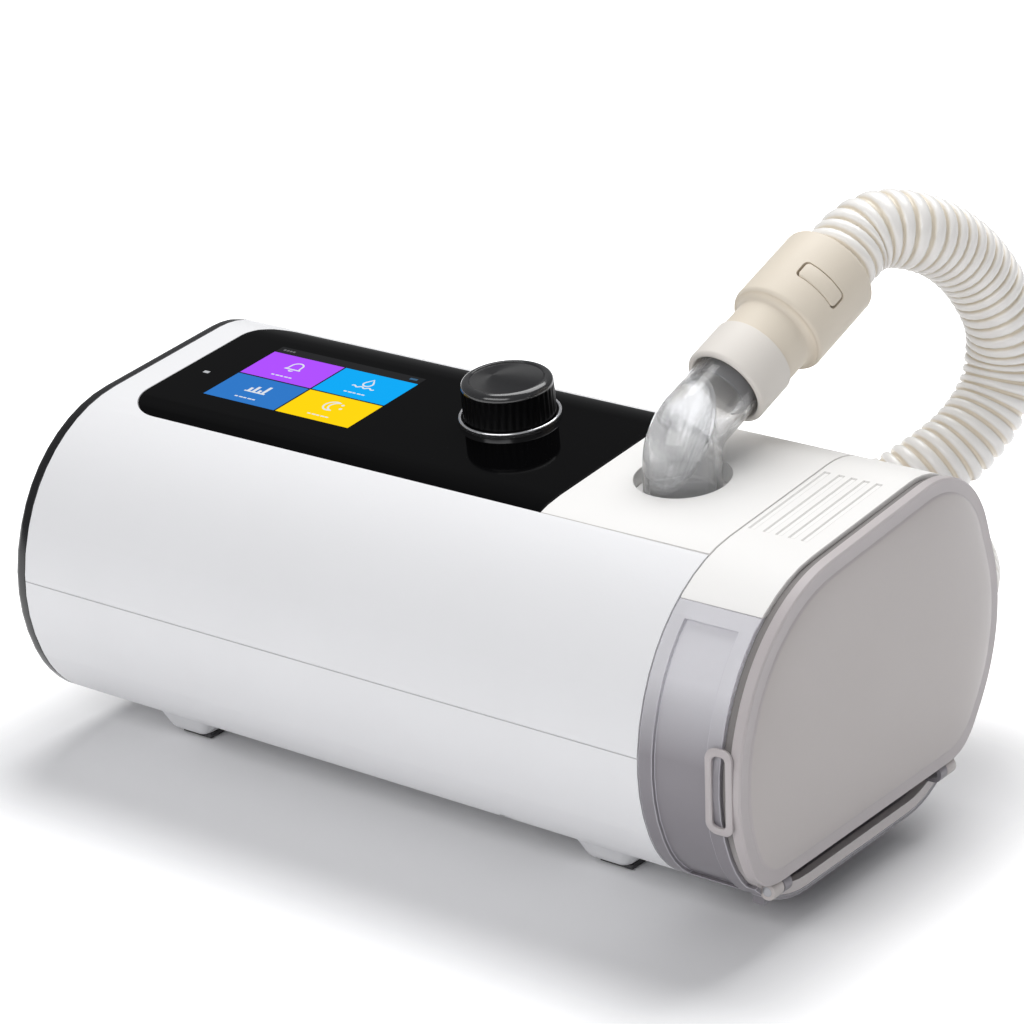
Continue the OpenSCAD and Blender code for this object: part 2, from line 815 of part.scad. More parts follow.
module heater_plate() {
    color([0.75, 0.75, 0.77]) translate([heater_x, -heater_d / 2, bay_z]) cube([heater_l, heater_d, heater_t]);
}
module vent_seal(y) {
    gap = tongue_x - bay_x - bay_t;
    difference() {
        x_tube(bay_x + bay_t + seat, y, vent_z, gap - seat - soft_gap, vent_r + seal_t);
        x_tube(bay_x, y, vent_z, far, vent_r);
    }
}
module inlet_seal() color([0.6, 0.62, 0.66]) vent_seal(-vent_y);
module return_seal() color([0.6, 0.62, 0.66]) vent_seal(vent_y);
module outlet_channel() {
    riser_y = vent_y - riser_d / 2;
    low = vent_z - riser_d / 2;
    t = channel_t;
    color([0.5, 0.52, 0.55]) difference() {
        union() {
            translate([riser_x, riser_y, low]) cube([bay_x - riser_x - seat, riser_d, channel_top - low]);
            translate([riser_x, channel_y, bay_top + seat])
                cube([channel_x2 - riser_x, channel_y2 - channel_y, channel_top - bay_top - seat]);
        }
        translate([riser_x + t, riser_y + t, low + t])
            cube([bay_x - seat - riser_x - 2 * t, riser_d - 2 * t, channel_top - low - 2 * t]);
        translate([riser_x + t, channel_y + t, bay_top + seat + t])
            cube([channel_x2 - riser_x - 2 * t, channel_y2 - channel_y - 2 * t, channel_top - bay_top - seat - 2 * t]);
        x_tube(bay_x - 2 * t, vent_y, vent_z, far, vent_r);
        translate([port_x, port_y, channel_top - 2 * t]) cylinder(h = far, r = elbow_dia / 2 - elbow_t, $fn = 64);
    }
}
module port_socket() {
    color([0.85, 0.85, 0.84]) translate([port_x, port_y, socket_z]) difference() {
        union() {
            cylinder(h = flange_t, r = flange_r, $fn = 72);
            cylinder(h = socket_low - socket_top, r = socket_r, $fn = 72);
        }
        translate([0, 0, -over]) cylinder(h = far, r = elbow_dia / 2 + run_gap, $fn = 72);
    }
}

// The elbow is cut at the plane that halves its bend, where no round surface starts or ends
module beyond_corner(back = 0) {
    translate(corner_p) rotate([0, (90 - arm_rise) / 2, 90 - arm_turn]) translate([-40, -40, -back])
        cube([80, 80, 80]);
}
module elbow_pipe(r_up, r_arm, low, high) {
    difference() {
        translate([port_x, port_y, low]) rotate([0, 0, upright_turn])
            cylinder(h = corner_z - low + 30, r = r_up, $fn = 72);
        beyond_corner();
    }
    intersection() {
        on_arm(-30) rotate([0, 0, arm_seam_turn]) cylinder(h = high + 30, r = r_arm, $fn = 72);
        beyond_corner(seat);
    }
}
module elbow() {
    color([0.8, 0.84, 0.86]) difference() {
        elbow_pipe(elbow_dia / 2, arm_dia / 2, socket_z + soft_gap, arm_end);
        elbow_pipe(elbow_dia / 2 - elbow_t, arm_dia / 2 - elbow_t, socket_z - over, arm_end + over);
    }
}
module hose_sleeve() {
    color([0.86, 0.85, 0.83]) difference() {
        on_arm(sleeve_at) cylinder(h = neck_at - seat - sleeve_at, r = sleeve_dia / 2, $fn = 72);
        on_arm(sleeve_at - over) cylinder(h = neck_at - sleeve_at + 2 * over, r = arm_dia / 2 + bore_gap, $fn = 72);
    }
}
module button_pocket(w, l, low, high) {
    on_arm(button_at) rotate([0, 0, -90 - button_side]) translate([low, -w / 2, -l / 2]) cube([high - low, w, l]);
}
module hose_collar() {
    color([0.88, 0.85, 0.78]) difference() {
        union() {
            on_arm(neck_at) cylinder(h = collar_at - neck_at + over, r = neck_dia / 2, $fn = 72);
            on_arm(collar_at) cylinder(h = collar_l, r = collar_dia / 2, $fn = 72);
        }
        on_arm(neck_at - over) cylinder(h = far, r = hose_bore / 2, $fn = 72);
        on_arm(hose_seat) cylinder(h = far, r = hose_dia / 2 + hose_slip, $fn = 72);
        button_pocket(button_w + 2 * button_room, button_l + 2 * button_room,
            collar_dia / 2 - button_t - button_travel, far);
    }
}
module release_button() {
    color([0.9, 0.87, 0.8]) intersection() {
        button_pocket(button_w, button_l, collar_dia / 2 + button_proud - button_t, far);
        on_arm(collar_at) cylinder(h = collar_l, r = collar_dia / 2 + button_proud, $fn = 72);
    }
}

// Hose route: straight out of the collar, a smooth curve through the route's points, straight into the folds
hose_a = corner_p + arm_dir * (hose_seat + seat);
hose_b = corner_p + arm_dir * (hose_seat + hose_dia);
near_y = [for (i = [0:2]) hank_y + i * run_pitch];
far_y = [for (i = [0:1]) hank_y + 2 * fold_r - i * run_pitch];
hose_c = [hank_x + hose_dia + 10, near_y[2], hank_z];
hose_d = [hank_x, near_y[2], hank_z];
knots = concat([hose_b], route, [hose_c]);
reach_b = norm(route[0] - hose_b);
reach_c = norm(hose_c - route[len(route) - 1]);
posts = concat([hose_b - arm_dir * reach_b], knots, [hose_c + [-reach_c, 0, 0]]);
function bend_at(p, q, r, s, u) =
    0.5 * (2 * q + (r - p) * u + (2 * p - 5 * q + 4 * r - s) * u * u + (3 * q - p - 3 * r + s) * u * u * u);
curve = [for (i = [1:len(posts) - 3], k = [0:curve_steps - 1])
    bend_at(posts[i - 1], posts[i], posts[i + 1], posts[i + 2], k / curve_steps)];
spine = concat([hose_a], curve, [hose_c, hose_d]);
function steps(p) = [for (i = 0, s = 0; i < len(p); s = s + (i + 1 < len(p) ? norm(p[i + 1] - p[i]) : 0), i = i + 1) s];
spine_s = steps(spine);
tube_l = spine_s[len(spine_s) - 1];
look = [for (a = [0:2]) [for (i = [0:len(spine) - 1]) [spine_s[i], spine[i][a]]]];
function spine_at(s) = [for (a = [0:2]) lookup(s, look[a])];

// Rings of a swept tube, each turned as little as its path allows
function way(p, i) = unit(p[min(i + 1, len(p) - 1)] - p[max(i - 1, 0)]);
function square_to(v, t) = unit(v - t * (v * t));
function sides_of(p, v0) = [for (i = 0, v = square_to(v0, way(p, 0)); i < len(p);
    i = i + 1, v = square_to(v, way(p, min(i, len(p) - 1)))) v];
function ring_at(c, t, v, r, n) =
    [for (k = [0:n - 1]) c + r * (v * cos(360 * k / n) + cross(t, v) * sin(360 * k / n))];
function skin(first, rings, n, out) = [for (i = [0:rings - 2], k = [0:n - 1])
    let (a = first + i * n + k, b = first + i * n + (k + 1) % n)
    each out ? [[a, b + n, b], [a, a + n, b + n]] : [[a, b, b + n], [a, b + n, a + n]]];
function end_face(o, q, n, start) = [for (k = [0:n - 1])
    let (a = o + k, b = o + (k + 1) % n, c = q + k, d = q + (k + 1) % n)
    each start ? [[a, b, d], [a, d, c]] : [[a, d, b], [a, c, d]]];
module pipe(path, radii, v0, n, bore_r, every) {
    last = len(path) - 1;
    v = sides_of(path, v0);
    inner = concat([for (i = [0:every:last - 1]) i], [last]);
    outer_points = [for (i = [0:last]) each ring_at(path[i], way(path, i), v[i], radii[i], n)];
    inner_points = [for (i = inner) each ring_at(path[i], way(path, i), v[i], bore_r, n)];
    q = len(outer_points);
    polyhedron(points = concat(outer_points, inner_points), faces = concat(
        skin(0, last + 1, n, true), skin(q, len(inner), n, false),
        end_face(0, q, n, true), end_face(last * n, q + (len(inner) - 1) * n, n, false)));
}
ribs = floor((tube_l - 2 * rib_pitch) / rib_pitch);
rib_start = (tube_l - ribs * rib_pitch) / 2;
tube_stops = concat([0], [for (i = [0:2 * ribs]) rib_start + i * rib_pitch / 2], [tube_l]);
tube_path = [for (s = tube_stops) spine_at(s)];
tube_radii = concat([hose_dia / 2], [for (i = [0:2 * ribs]) hose_dia / 2 - (i % 2 == 0 ? rib_depth : 0)],
    [hose_dia / 2]);
module hose_tube() {
    color([0.9, 0.87, 0.8]) pipe(tube_path, tube_radii, [1, 0, 0], tube_sides, hose_bore / 2, bore_every);
}

// The folded hose: five runs and four folds in one flat spiral, which ends beside the machine
function fold(x, y0, y1, side, n) = let (m = (y0 + y1) / 2, r = (y1 - y0) / 2)
    [for (k = [0:n]) [x + side * abs(r) * sin(180 * k / n), m - r * cos(180 * k / n), hank_z]];
last_x = run_right - last_run;
hank_path = concat([hose_d, [hank_x - hose_dia, near_y[2], hank_z]],
    fold(run_left, near_y[2], far_y[1], -1, fold_steps), fold(run_right, far_y[1], near_y[1], 1, fold_steps),
    fold(run_left, near_y[1], far_y[0], -1, fold_steps), fold(run_right, far_y[0], near_y[0], 1, fold_steps),
    [[last_x + hose_dia, hank_y, hank_z], [last_x, hank_y, hank_z]]);
hank_s = steps(hank_path);
hank_l = hank_s[len(hank_s) - 1];
module hose_hank() {
    color([0.9, 0.87, 0.8]) pipe(hank_path, [for (p = hank_path) hose_dia / 2], [0, 0, 1], hank_sides,
        hose_bore / 2, 1);
}

// The least gap of the folded hose to itself, on points every few millimetres
gap_step = 8;
hank_look = [for (a = [0:2]) [for (i = [0:len(hank_path) - 1]) [hank_s[i], hank_path[i][a]]]];
hank_points = [for (s = [0:gap_step:hank_l]) [for (a = [0:2]) lookup(s, hank_look[a])]];
tube_points = [for (s = [0:gap_step:tube_l]) spine_at(s)];
all_points = concat(tube_points, hank_points);
gap_skip = ceil(3 * hose_dia / gap_step);
least_gap = min([for (i = [0:len(all_points) - 1 - gap_skip], j = [i + gap_skip:len(all_points) - 1])
    norm(all_points[i] - all_points[j])]) - hose_dia;
echo(hose_least_gap = least_gap, tube_length = tube_l, hank_length = hank_l, hose_length = tube_l + hank_l);

module hank_tie() {
    module band(r) {
        for (y = [near_y[0], near_y[2]]) translate([y, hank_z]) circle(r, $fn = 48);
        translate([near_y[0], hank_z - r]) square([near_y[2] - near_y[0], 2 * r]);
    }
    color([0.12, 0.12, 0.13]) along_x(tie_x, tie_w) difference() {
        band(hose_dia / 2 + soft_gap + tie_t);
        band(hose_dia / 2 + soft_gap);
    }
}
module mask_cuff() {
    x = last_x + cuff_grip - cuff_l;
    color([0.35, 0.36, 0.38]) difference() {
        union() {
            x_tube(x, hank_y, hank_z, cuff_l, cuff_r - cuff_ridge);
            for (i = [1:ridges]) x_tube(x + cuff_l - cuff_grip - ridge_pitch * i, hank_y, hank_z, ridge_w, cuff_r);
        }
        x_tube(x - over, hank_y, hank_z, cuff_l + 2 * over, hose_bore / 2);
        x_tube(x + cuff_l - cuff_grip, hank_y, hank_z, cuff_grip + over, hose_dia / 2 + hose_slip);
        x_tube(x - over, hank_y, hank_z, cuff_depth + over, cuff_bore / 2);
    }
}

// Tank with its tongue, lid, gasket and hinged end cover
module hinge_at(y, l, r) y_tube(hinge_x, y, hinge_z, l, r);
module tank_shell() {
    main_l = base_end - tank_x;
    difference() {
        union() {
            slab(tank_x, main_l);
            translate([tongue_x, -tongue_d / 2, tongue_z]) cube([tank_x + over - tongue_x, tongue_d, tongue_h]);
            intersection() {
                shell(base_end - over, cover_x - seat - base_end + over, 0, lip_t);
                translate([0, -far / 2, 0]) cube([far, far, case_z + cover_low - slip]);
            }
        }
        slab(tank_x + tank_t, main_l - tank_t + 0.01, tank_t);
        translate([tongue_x + tongue_t, -tongue_d / 2 + tongue_t, tongue_z + tongue_t])
            cube([tank_x + 2 * tank_t - tongue_x, tongue_d - 2 * tongue_t, tongue_h - 2 * tongue_t]);
        translate([0, -far / 2, case_top - lid_drop]) cube([far, far, far]);
        difference() {
            translate([side_recess_x, -far / 2, case_z + side_recess_low])
                cube([side_recess_l, far, side_recess_h]);
            slab(tank_x, main_l, side_recess_t);
        }
        for (y = [-vent_y, vent_y]) x_tube(tongue_x - over, y, vent_z, tongue_t + 2 * over, vent_r);
        translate([heater_x - slip, -heater_d / 2 - slip, tongue_z - over])
            cube([heater_l + 2 * slip, heater_d + 2 * slip, tongue_t + 2 * over]);
    }
}
module tank_base() {
    foot_z = case_z + tank_t - 1;
    color([0.66, 0.65, 0.7, 0.6]) difference() {
        union() {
            tank_shell();
            for (y = ear_y) {
                hinge_at(y, ear_l, hinge_r);
                translate([base_end - ear_root, y, hinge_z - hinge_r])
                    cube([hinge_x - base_end + ear_root, ear_l, 2 * hinge_r]);
                translate([base_end - ear_root, y, foot_z]) cube([ear_root, ear_l, hinge_z - foot_z]);
            }
        }
        for (y = ear_y) hinge_at(y - over, ear_l + 2 * over, pin_r + bore_gap);
        for (y = hinge_y) hinge_at(y - slip, knuckle_l + 2 * slip, hinge_r + 0.4);
    }
}
module tank_plate() {
    color([0.8, 0.8, 0.82]) translate([heater_x, -heater_d / 2, bay_z + heater_t + soft_gap])
        cube([heater_l, heater_d, tank_plate_t]);
}
module tank_lid() {
    color([0.93, 0.92, 0.9]) difference() {
        intersection() {
            difference() {
                slab(tank_x, lid_l);
                slab(tank_x + wall, lid_l, wall);
            }
            translate([0, -far / 2, case_top - lid_drop]) cube([far, far, far]);
        }
        for (x = groove_x) on_top(housing_end + x, groove_y) translate([-groove_w / 2, 0, -groove_t])
            cube([groove_w, groove_l, far]);
    }
}
module gasket_ring() {
    shell(base_end + seat, gasket_t, gasket_in, gasket_in + gasket_wide);
}
module tank_gasket() {
    color([0.2, 0.2, 0.22]) difference() {
        gasket_ring();
        translate([base_end - over, -far / 2, case_top - lid_drop])
            cube([tank_x + lid_l - base_end + over + seat, far, far]);
        for (y = hinge_y) hinge_at(y - slip, knuckle_l + 2 * slip, hinge_r + 0.4);
        for (y = ear_y) {
            translate([base_end - over, y - slip, hinge_z - hinge_r - slip])
                cube([far, ear_l + 2 * slip, 2 * (hinge_r + slip)]);
        }
    }
}
module cover_plan(t) {
    intersection() {
        polygon(outline(t));
        translate([-far / 2, case_z + cover_low + t]) square([far, far]);
    }
}
module cover_layer(x, t) along_x(x, 0.05) cover_plan(t);
module dome() {
    hull() {
        cover_layer(cover_x + flange_l - 1, dome_in);
        cover_layer(tank_end - 0.8 * cover_rise, dome_in + 0.4);
        cover_layer(tank_end - 0.4 * cover_rise, dome_in + 4);
        cover_layer(tank_end - 0.15 * cover_rise, dome_in + 10);
        cover_layer(tank_end - 0.05, dome_in + 18);
    }
}
module side_clips() {
    difference() {
        intersection() {
            shell(clip_x, clip_l, -clip_t, -soft_gap);
            translate([clip_x, -far / 2, case_z + clip_z]) cube([clip_l, far, clip_h]);
        }
        translate([clip_x + clip_rim, -far / 2, case_z + clip_z + 2 * clip_rim])
            cube([clip_l - 2 * clip_rim - 2, far, clip_h - 4 * clip_rim]);
    }
    intersection() {
        shell(cover_x, clip_x + clip_l - cover_x, -clip_t, over);
        translate([cover_x, -far / 2, case_z + clip_z]) cube([clip_l, far, clip_h]);
    }
}
module tank_end_cover() {
    color([0.62, 0.61, 0.68, 0.6]) difference() {
        union() {
            along_x(cover_x, flange_l) cover_plan(0);
            dome();
            side_clips();
            for (y = hinge_y) {
                hinge_at(y, knuckle_l, hinge_r);
                translate([cover_x, y, hinge_z]) cube([flange_l, knuckle_l, cover_low - 10 + 2 * cover_t]);
            }
        }
        along_x(cover_x - over, cover_hollow + over) cover_plan(dome_in + cover_t);
        for (y = hinge_y) hinge_at(y - over, knuckle_l + 2 * over, pin_r + run_gap);
        for (y = ear_y) {
            hinge_at(y - 0.3, ear_l + 0.6, hinge_r + 0.4);
            translate([cover_x - over, y - 0.3, hinge_z - hinge_r]) cube([over + 1.5, ear_l + 0.6, 2 * hinge_r + 0.4]);
        }
    }
}
module hinge_pins() {
    color([0.75, 0.75, 0.77]) for (y = pin_y) hinge_at(y, pin_l, pin_r);
}

left_end_cap();
upper_housing();
lower_housing();
top_plate();
foot_pads();
housing_screws();
control_panel();
display_module();
status_lamp();
main_board();
knob();
encoder_shaft();
knob_ring();
encoder_body();
encoder_rotor();
blower_mount();
blower_housing();
blower_cover();
blower_motor();
motor_shaft();
impeller();
filter_frame();
intake_filter();
silencer_foam();
filter_cover();
card_slot();
memory_card();
power_inlet();
outlet_duct();
flow_sensor();
tank_bay();
heater_plate();
inlet_seal();
return_seal();
outlet_channel();
port_socket();
elbow();
hose_sleeve();
hose_collar();
release_button();
hose_tube();
hose_hank();
hank_tie();
mask_cuff();
tank_base();
tank_plate();
tank_lid();
tank_gasket();
tank_end_cover();
hinge_pins();
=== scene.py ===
import bisect
import json
import math

import bmesh
import bpy
from bpy.props import FloatProperty, FloatVectorProperty, IntProperty, PointerProperty
from bpy.types import Operator, Panel, PropertyGroup
from mathutils import Euler, Matrix, Vector
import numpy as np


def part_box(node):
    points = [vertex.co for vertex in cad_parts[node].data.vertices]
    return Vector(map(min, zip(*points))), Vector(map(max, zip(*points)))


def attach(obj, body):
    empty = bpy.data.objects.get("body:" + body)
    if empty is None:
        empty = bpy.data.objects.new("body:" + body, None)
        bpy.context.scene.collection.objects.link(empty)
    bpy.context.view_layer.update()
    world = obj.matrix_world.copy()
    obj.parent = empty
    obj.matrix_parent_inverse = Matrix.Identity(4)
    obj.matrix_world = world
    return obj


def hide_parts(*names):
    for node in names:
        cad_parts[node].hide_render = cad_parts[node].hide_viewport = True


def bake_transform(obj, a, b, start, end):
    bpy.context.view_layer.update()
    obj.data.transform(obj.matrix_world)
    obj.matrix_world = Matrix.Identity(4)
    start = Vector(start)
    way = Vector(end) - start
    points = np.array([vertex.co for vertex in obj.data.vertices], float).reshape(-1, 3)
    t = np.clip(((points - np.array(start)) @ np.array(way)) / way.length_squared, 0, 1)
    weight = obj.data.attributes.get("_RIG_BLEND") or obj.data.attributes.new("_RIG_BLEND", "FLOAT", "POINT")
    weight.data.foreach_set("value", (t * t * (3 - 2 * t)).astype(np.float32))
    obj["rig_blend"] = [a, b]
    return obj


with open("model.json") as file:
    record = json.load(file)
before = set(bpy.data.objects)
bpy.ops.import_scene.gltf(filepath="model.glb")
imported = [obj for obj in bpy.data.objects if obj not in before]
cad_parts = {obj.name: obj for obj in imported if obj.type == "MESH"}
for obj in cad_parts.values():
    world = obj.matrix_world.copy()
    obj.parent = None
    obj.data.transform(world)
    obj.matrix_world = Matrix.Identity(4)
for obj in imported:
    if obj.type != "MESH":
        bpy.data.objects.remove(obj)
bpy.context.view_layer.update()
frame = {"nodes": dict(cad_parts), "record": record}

bl_info = {
    "name": "Bilevel Breathing Machine",
    "version": (1, 0, 0),
    "blender": (4, 5, 0),
    "location": "View3D > Sidebar > Bilevel",
    "description": "Dresses the packed frame of a bedside breathing machine",
    "category": "Object",
}

NODES = frame["nodes"]

# Corners of the case outline as depth, height and radius, clockwise from the lower front edge
CORNERS = (
    (-0.055, 0.010, 0.038), (-0.075, 0.055, 0.056), (-0.055, 0.1085, 0.052),
    (0.055, 0.119, 0.033), (0.077, 0.0565, 0.053), (0.043, 0.010, 0.035))
TILT = math.atan(10.5 / 110)
RISE = math.radians(24.5)
TURN = math.radians(5.26)
ARM = Vector((math.sin(TURN) * math.cos(RISE), math.cos(TURN) * math.cos(RISE), math.sin(RISE)))


# Settings
def length(name, text, value):
    return FloatProperty(name=name, description=text, default=value, unit="LENGTH", precision=5)


class BilevelCamera(PropertyGroup):
    place: FloatVectorProperty(name="Place", description="Where the camera stands", size=3, unit="LENGTH",
        default=(0.6575, -0.8312, 0.5145))
    turn: FloatVectorProperty(name="Turn", description="How the camera is turned", size=3, unit="ROTATION",
        precision=6, default=(1.188516, 0.036225, 0.649056))
    lens: FloatProperty(name="Lens", description="Focal length on a 36 mm sensor", default=129.67)


class BilevelCase(PropertyGroup):
    edge: length("Edge", "Rounding of the moulded edges of the case", 0.0004)
    fine_edge: length("Fine edge", "Rounding of the edges of small pieces", 0.0002)
    seam: length("Seam", "Width of the rounding beside the long seam", 0.0003)


class BilevelOutlet(PropertyGroup):
    foot: length("Foot", "Outer radius of the elbow where it stands in the port", 0.0120)
    arm: length("Arm", "Outer radius of the elbow's arm", 0.0110)
    wall: length("Wall", "Wall of the elbow", 0.0020)
    bend: length("Bend", "Radius of the elbow's bend", 0.0122)
    sleeve: length("Sleeve", "Outer radius of the sleeve", 0.01375)
    neck: length("Neck", "Outer radius of the collar's neck", 0.0130)
    collar: length("Collar", "Outer radius of the collar", 0.0160)
    button: length("Button", "Width of the release button round the collar", 0.0153)


class BilevelKnob(PropertyGroup):
    place: FloatVectorProperty(name="Place", description="Middle of the knob on the top", default=(-0.003, 0.0146),
        size=2, unit="LENGTH")
    radius: length("Radius", "Radius of the knob", 0.0146)
    height: length("Height", "Height of the knob above its gap", 0.0124)
    gap: length("Gap", "Gap under the knob", 0.0012)
    flutes: IntProperty(name="Flutes", description="Flutes round the side", default=40)
    depth: length("Depth", "Depth of a flute", 0.00035)


class BilevelHose(PropertyGroup):
    pitch: length("Pitch", "Distance from bead to bead", 0.0045)
    crest: length("Crest", "Radius at the top of the bead", 0.0124)
    valley: length("Valley", "Radius between the beads", 0.0111)
    bore: length("Bore", "Radius of the bore", 0.0095)
    bead: FloatProperty(name="Bead", description="Share of the pitch that the bead takes", default=0.76)
    sides: IntProperty(name="Sides", description="Steps of the bead round one turn", default=24)


class BilevelScreen(PropertyGroup):
    corner: FloatVectorProperty(name="Corner", description="Front left corner of the lit screen", size=2,
        unit="LENGTH", default=(-0.105, -0.0142))
    width: length("Width", "Width of the lit screen", 0.060)
    depth: length("Depth", "Depth of the lit screen", 0.040)
    strip: length("Strip", "Depth of the status strip", 0.0036)
    gap: length("Gap", "Gap between the tiles", 0.0007)
    stroke: length("Stroke", "Width of a line in a motif", 0.0006)


class BilevelStage(PropertyGroup):
    floor: length("Floor", "Radius of the floor", 6.0)
    key: FloatProperty(name="Key", description="Power of the large light overhead", default=22.0, unit="POWER")
    fill: FloatProperty(name="Fill", description="Power of the soft light in front", default=15.5, unit="POWER")
    sky: FloatProperty(name="Sky", description="Strength of the pale surroundings", default=0.3)


# Helpers
def top_z(y):
    return 0.1085 + (y + 0.055) * math.tan(TILT)


PORT = Vector((0.0695, 0.0038, top_z(0.0038)))
CORNER = PORT + Vector((0, 0, 0.0129))
SEAT = CORNER + ARM * 0.0676
BUTTON_BEND = 0.016


def on_top(x, y, lift=0.0):
    """Frame on the sloping top, its Z square to the top"""
    return Matrix.Translation((x, y, top_z(y))) @ Matrix.Rotation(TILT, 4, "X") @ Matrix.Translation((0, 0, lift))


def on_arm(at, turn=0.0):
    """Frame on the arm's axis, its Z along the arm and its X upwards"""
    side = Vector((math.cos(TURN), -math.sin(TURN), 0))
    up = ARM.cross(-side)
    turned = Matrix((up, side, ARM)).transposed().to_4x4()
    return Matrix.Translation(CORNER + ARM * at) @ turned @ Matrix.Rotation(turn, 4, "Z")


def outline(inset, steps=None):
    """Points of the case outline as depth and height, moved inwards; steps as the CAD has them, or per corner"""
    points = []
    count = len(CORNERS)
    for i, (_, _, radius) in enumerate(CORNERS):
        before, here, after = (Vector(CORNERS[(i + k) % count][:2]) for k in (-1, 0, 1))
        a, b = (here - before).normalized(), (after - here).normalized()
        na, nb = Vector((a.y, -a.x)), Vector((b.y, -b.x))
        corner = here + (na + nb) * inset / (1 + na.dot(nb))
        bend = a.angle(b)
        start = corner - a * (radius - inset) * math.tan(bend / 2)
        middle = start + na * (radius - inset)
        arm = start - middle
        count_k = steps or math.ceil(bend / math.radians(7.5))
        for k in range(count_k + 1):
            c, s = math.cos(-bend * k / count_k), math.sin(-bend * k / count_k)
            points.append(middle + Vector((arm.x * c - arm.y * s, arm.x * s + arm.y * c)))
    return points


def skin_depth(co, skin):
    """How far inside the case's outline a point lies"""
    p = Vector((co.y, co.z))
    best = 1.0
    for a, b in zip(skin, skin[1:] + skin[:1]):
        way = b - a
        size = way.length_squared
        t = min(1.0, max(0.0, (p - a).dot(way) / size)) if size else 0.0
        best = min(best, (a + way * t - p).length)
    return best


def side_point(z, side, proud):
    """Place on the case's front (-1) or rear (1) skin at a height, moved outwards"""
    points = outline(0, 16)
    for p, q in zip(points, points[1:] + points[:1]):
        if p.x * side > 0 and (p.y - z) * (q.y - z) <= 0 and abs(q.y - p.y) > 1e-9:
            t = (z - p.y) / (q.y - p.y)
            along = (q - p).normalized()
            out = Vector((-along.y, along.x))
            return p.lerp(q, t) + out * proud
    raise RuntimeError("no point of the outline at height %.4f" % z)


def filleted(corners, steps=6):
    """Closed profile of (radius, height, fillet) corners, with arcs at the corners that have one"""
    points = []
    count = len(corners)
    for i, (x, y, radius) in enumerate(corners):
        here = Vector((x, y))
        if radius <= 0:
            points.append(here)
            continue
        a = (Vector(corners[i - 1][:2]) - here).normalized()
        b = (Vector(corners[(i + 1) % count][:2]) - here).normalized()
        half = a.angle(b) / 2
        centre = here + (a + b).normalized() * (radius / math.sin(half))
        va = here + a * (radius / math.tan(half)) - centre
        vb = here + b * (radius / math.tan(half)) - centre
        sweep = va.angle(vb)
        for k in range(steps + 1):
            t = k / steps
            points.append(centre + (va * math.sin((1 - t) * sweep) + vb * math.sin(t * sweep)) / math.sin(sweep))
    return points


def lengths(path):
    """Distance along a path at each of its points"""
    at = [0.0]
    for p, q in zip(path, path[1:]):
        at.append(at[-1] + (q - p).length)
    return at


def spread(path, count):
    """Points at even distances along a path, from its first to its last"""
    at = lengths(path)
    points = []
    for i in range(count + 1):
        s = at[-1] * i / count
        k = min(bisect.bisect_right(at, s) - 1, len(path) - 2)
        points.append(path[k].lerp(path[k + 1], (s - at[k]) / max(at[k + 1] - at[k], 1e-9)))
    return points


def rounded(half_x, half_y, radius, steps=6):
    """Corners of a rectangle round its middle, with arcs"""
    return filleted([(-half_x, -half_y, radius), (half_x, -half_y, radius),
        (half_x, half_y, radius), (-half_x, half_y, radius)], steps)


def spun(bm, profile, steps, closed=True, sweep=2 * math.pi):
    """A profile of (radius, height) points turned round Z"""
    verts = [bm.verts.new((x, 0, z)) for x, z in profile]
    pairs = list(zip(verts, verts[1:] + verts[:1] if closed else verts[1:]))
    edges = [bm.edges.new(pair) for pair in pairs]
    bmesh.ops.spin(bm, geom=verts + edges, cent=(0, 0, 0), axis=(0, 0, 1), dvec=(0, 0, 0), angle=sweep,
        steps=steps, use_merge=sweep > 6.28, use_normal_flip=False, use_duplicate=False)
    bmesh.ops.remove_doubles(bm, verts=bm.verts[:], dist=1e-7)
    bmesh.ops.recalc_face_normals(bm, faces=bm.faces[:])


def joined(bm, row, following):
    """Faces between two rings of verts"""
    return [bm.faces.new((row[k - 1], row[k], following[k], following[k - 1])) for k in range(len(row))]


def lofted(bm, rings, close=False):
    """Skin over rings of equal count, with its ends capped or joined"""
    rows = [[bm.verts.new(p) for p in ring] for ring in rings]
    for row, following in zip(rows, rows[1:] + rows[:1] if close else rows[1:]):
        joined(bm, row, following)
    if not close:
        bm.faces.new(list(reversed(rows[0])))
        bm.faces.new(rows[-1])
    bmesh.ops.recalc_face_normals(bm, faces=bm.faces[:])


def raised(bm, face, height):
    """Extrudes a face upwards and gives the new verts"""
    made = bmesh.ops.extrude_face_region(bm, geom=[face])["geom"]
    top = [g for g in made if isinstance(g, bmesh.types.BMVert)]
    bmesh.ops.translate(bm, verts=top, vec=(0, 0, height))
    return top


def bevelled(bm, edges, width, segments, clamp):
    return bmesh.ops.bevel(bm, geom=edges, offset=width, offset_type="OFFSET", segments=segments, profile=0.5,
        affect="EDGES", clamp_overlap=clamp, material=-1)["faces"]


def sliced(bm, place, way, clear=False):
    bmesh.ops.bisect_plane(bm, geom=bm.verts[:] + bm.edges[:] + bm.faces[:], dist=1e-7,
        plane_co=place, plane_no=way, clear_outer=clear)


def mesh_object(name, bm, materials=()):
    """Links a new object of a finished mesh"""
    mesh = bpy.data.meshes.new(name)
    bm.to_mesh(mesh)
    bm.free()
    for material in materials:
        mesh.materials.append(material)
    obj = bpy.data.objects.new(name, mesh)
    bpy.context.scene.collection.objects.link(obj)
    return obj


def evaluated(context, obj):
    return bpy.data.meshes.new_from_object(obj.evaluated_get(context.evaluated_depsgraph_get()))


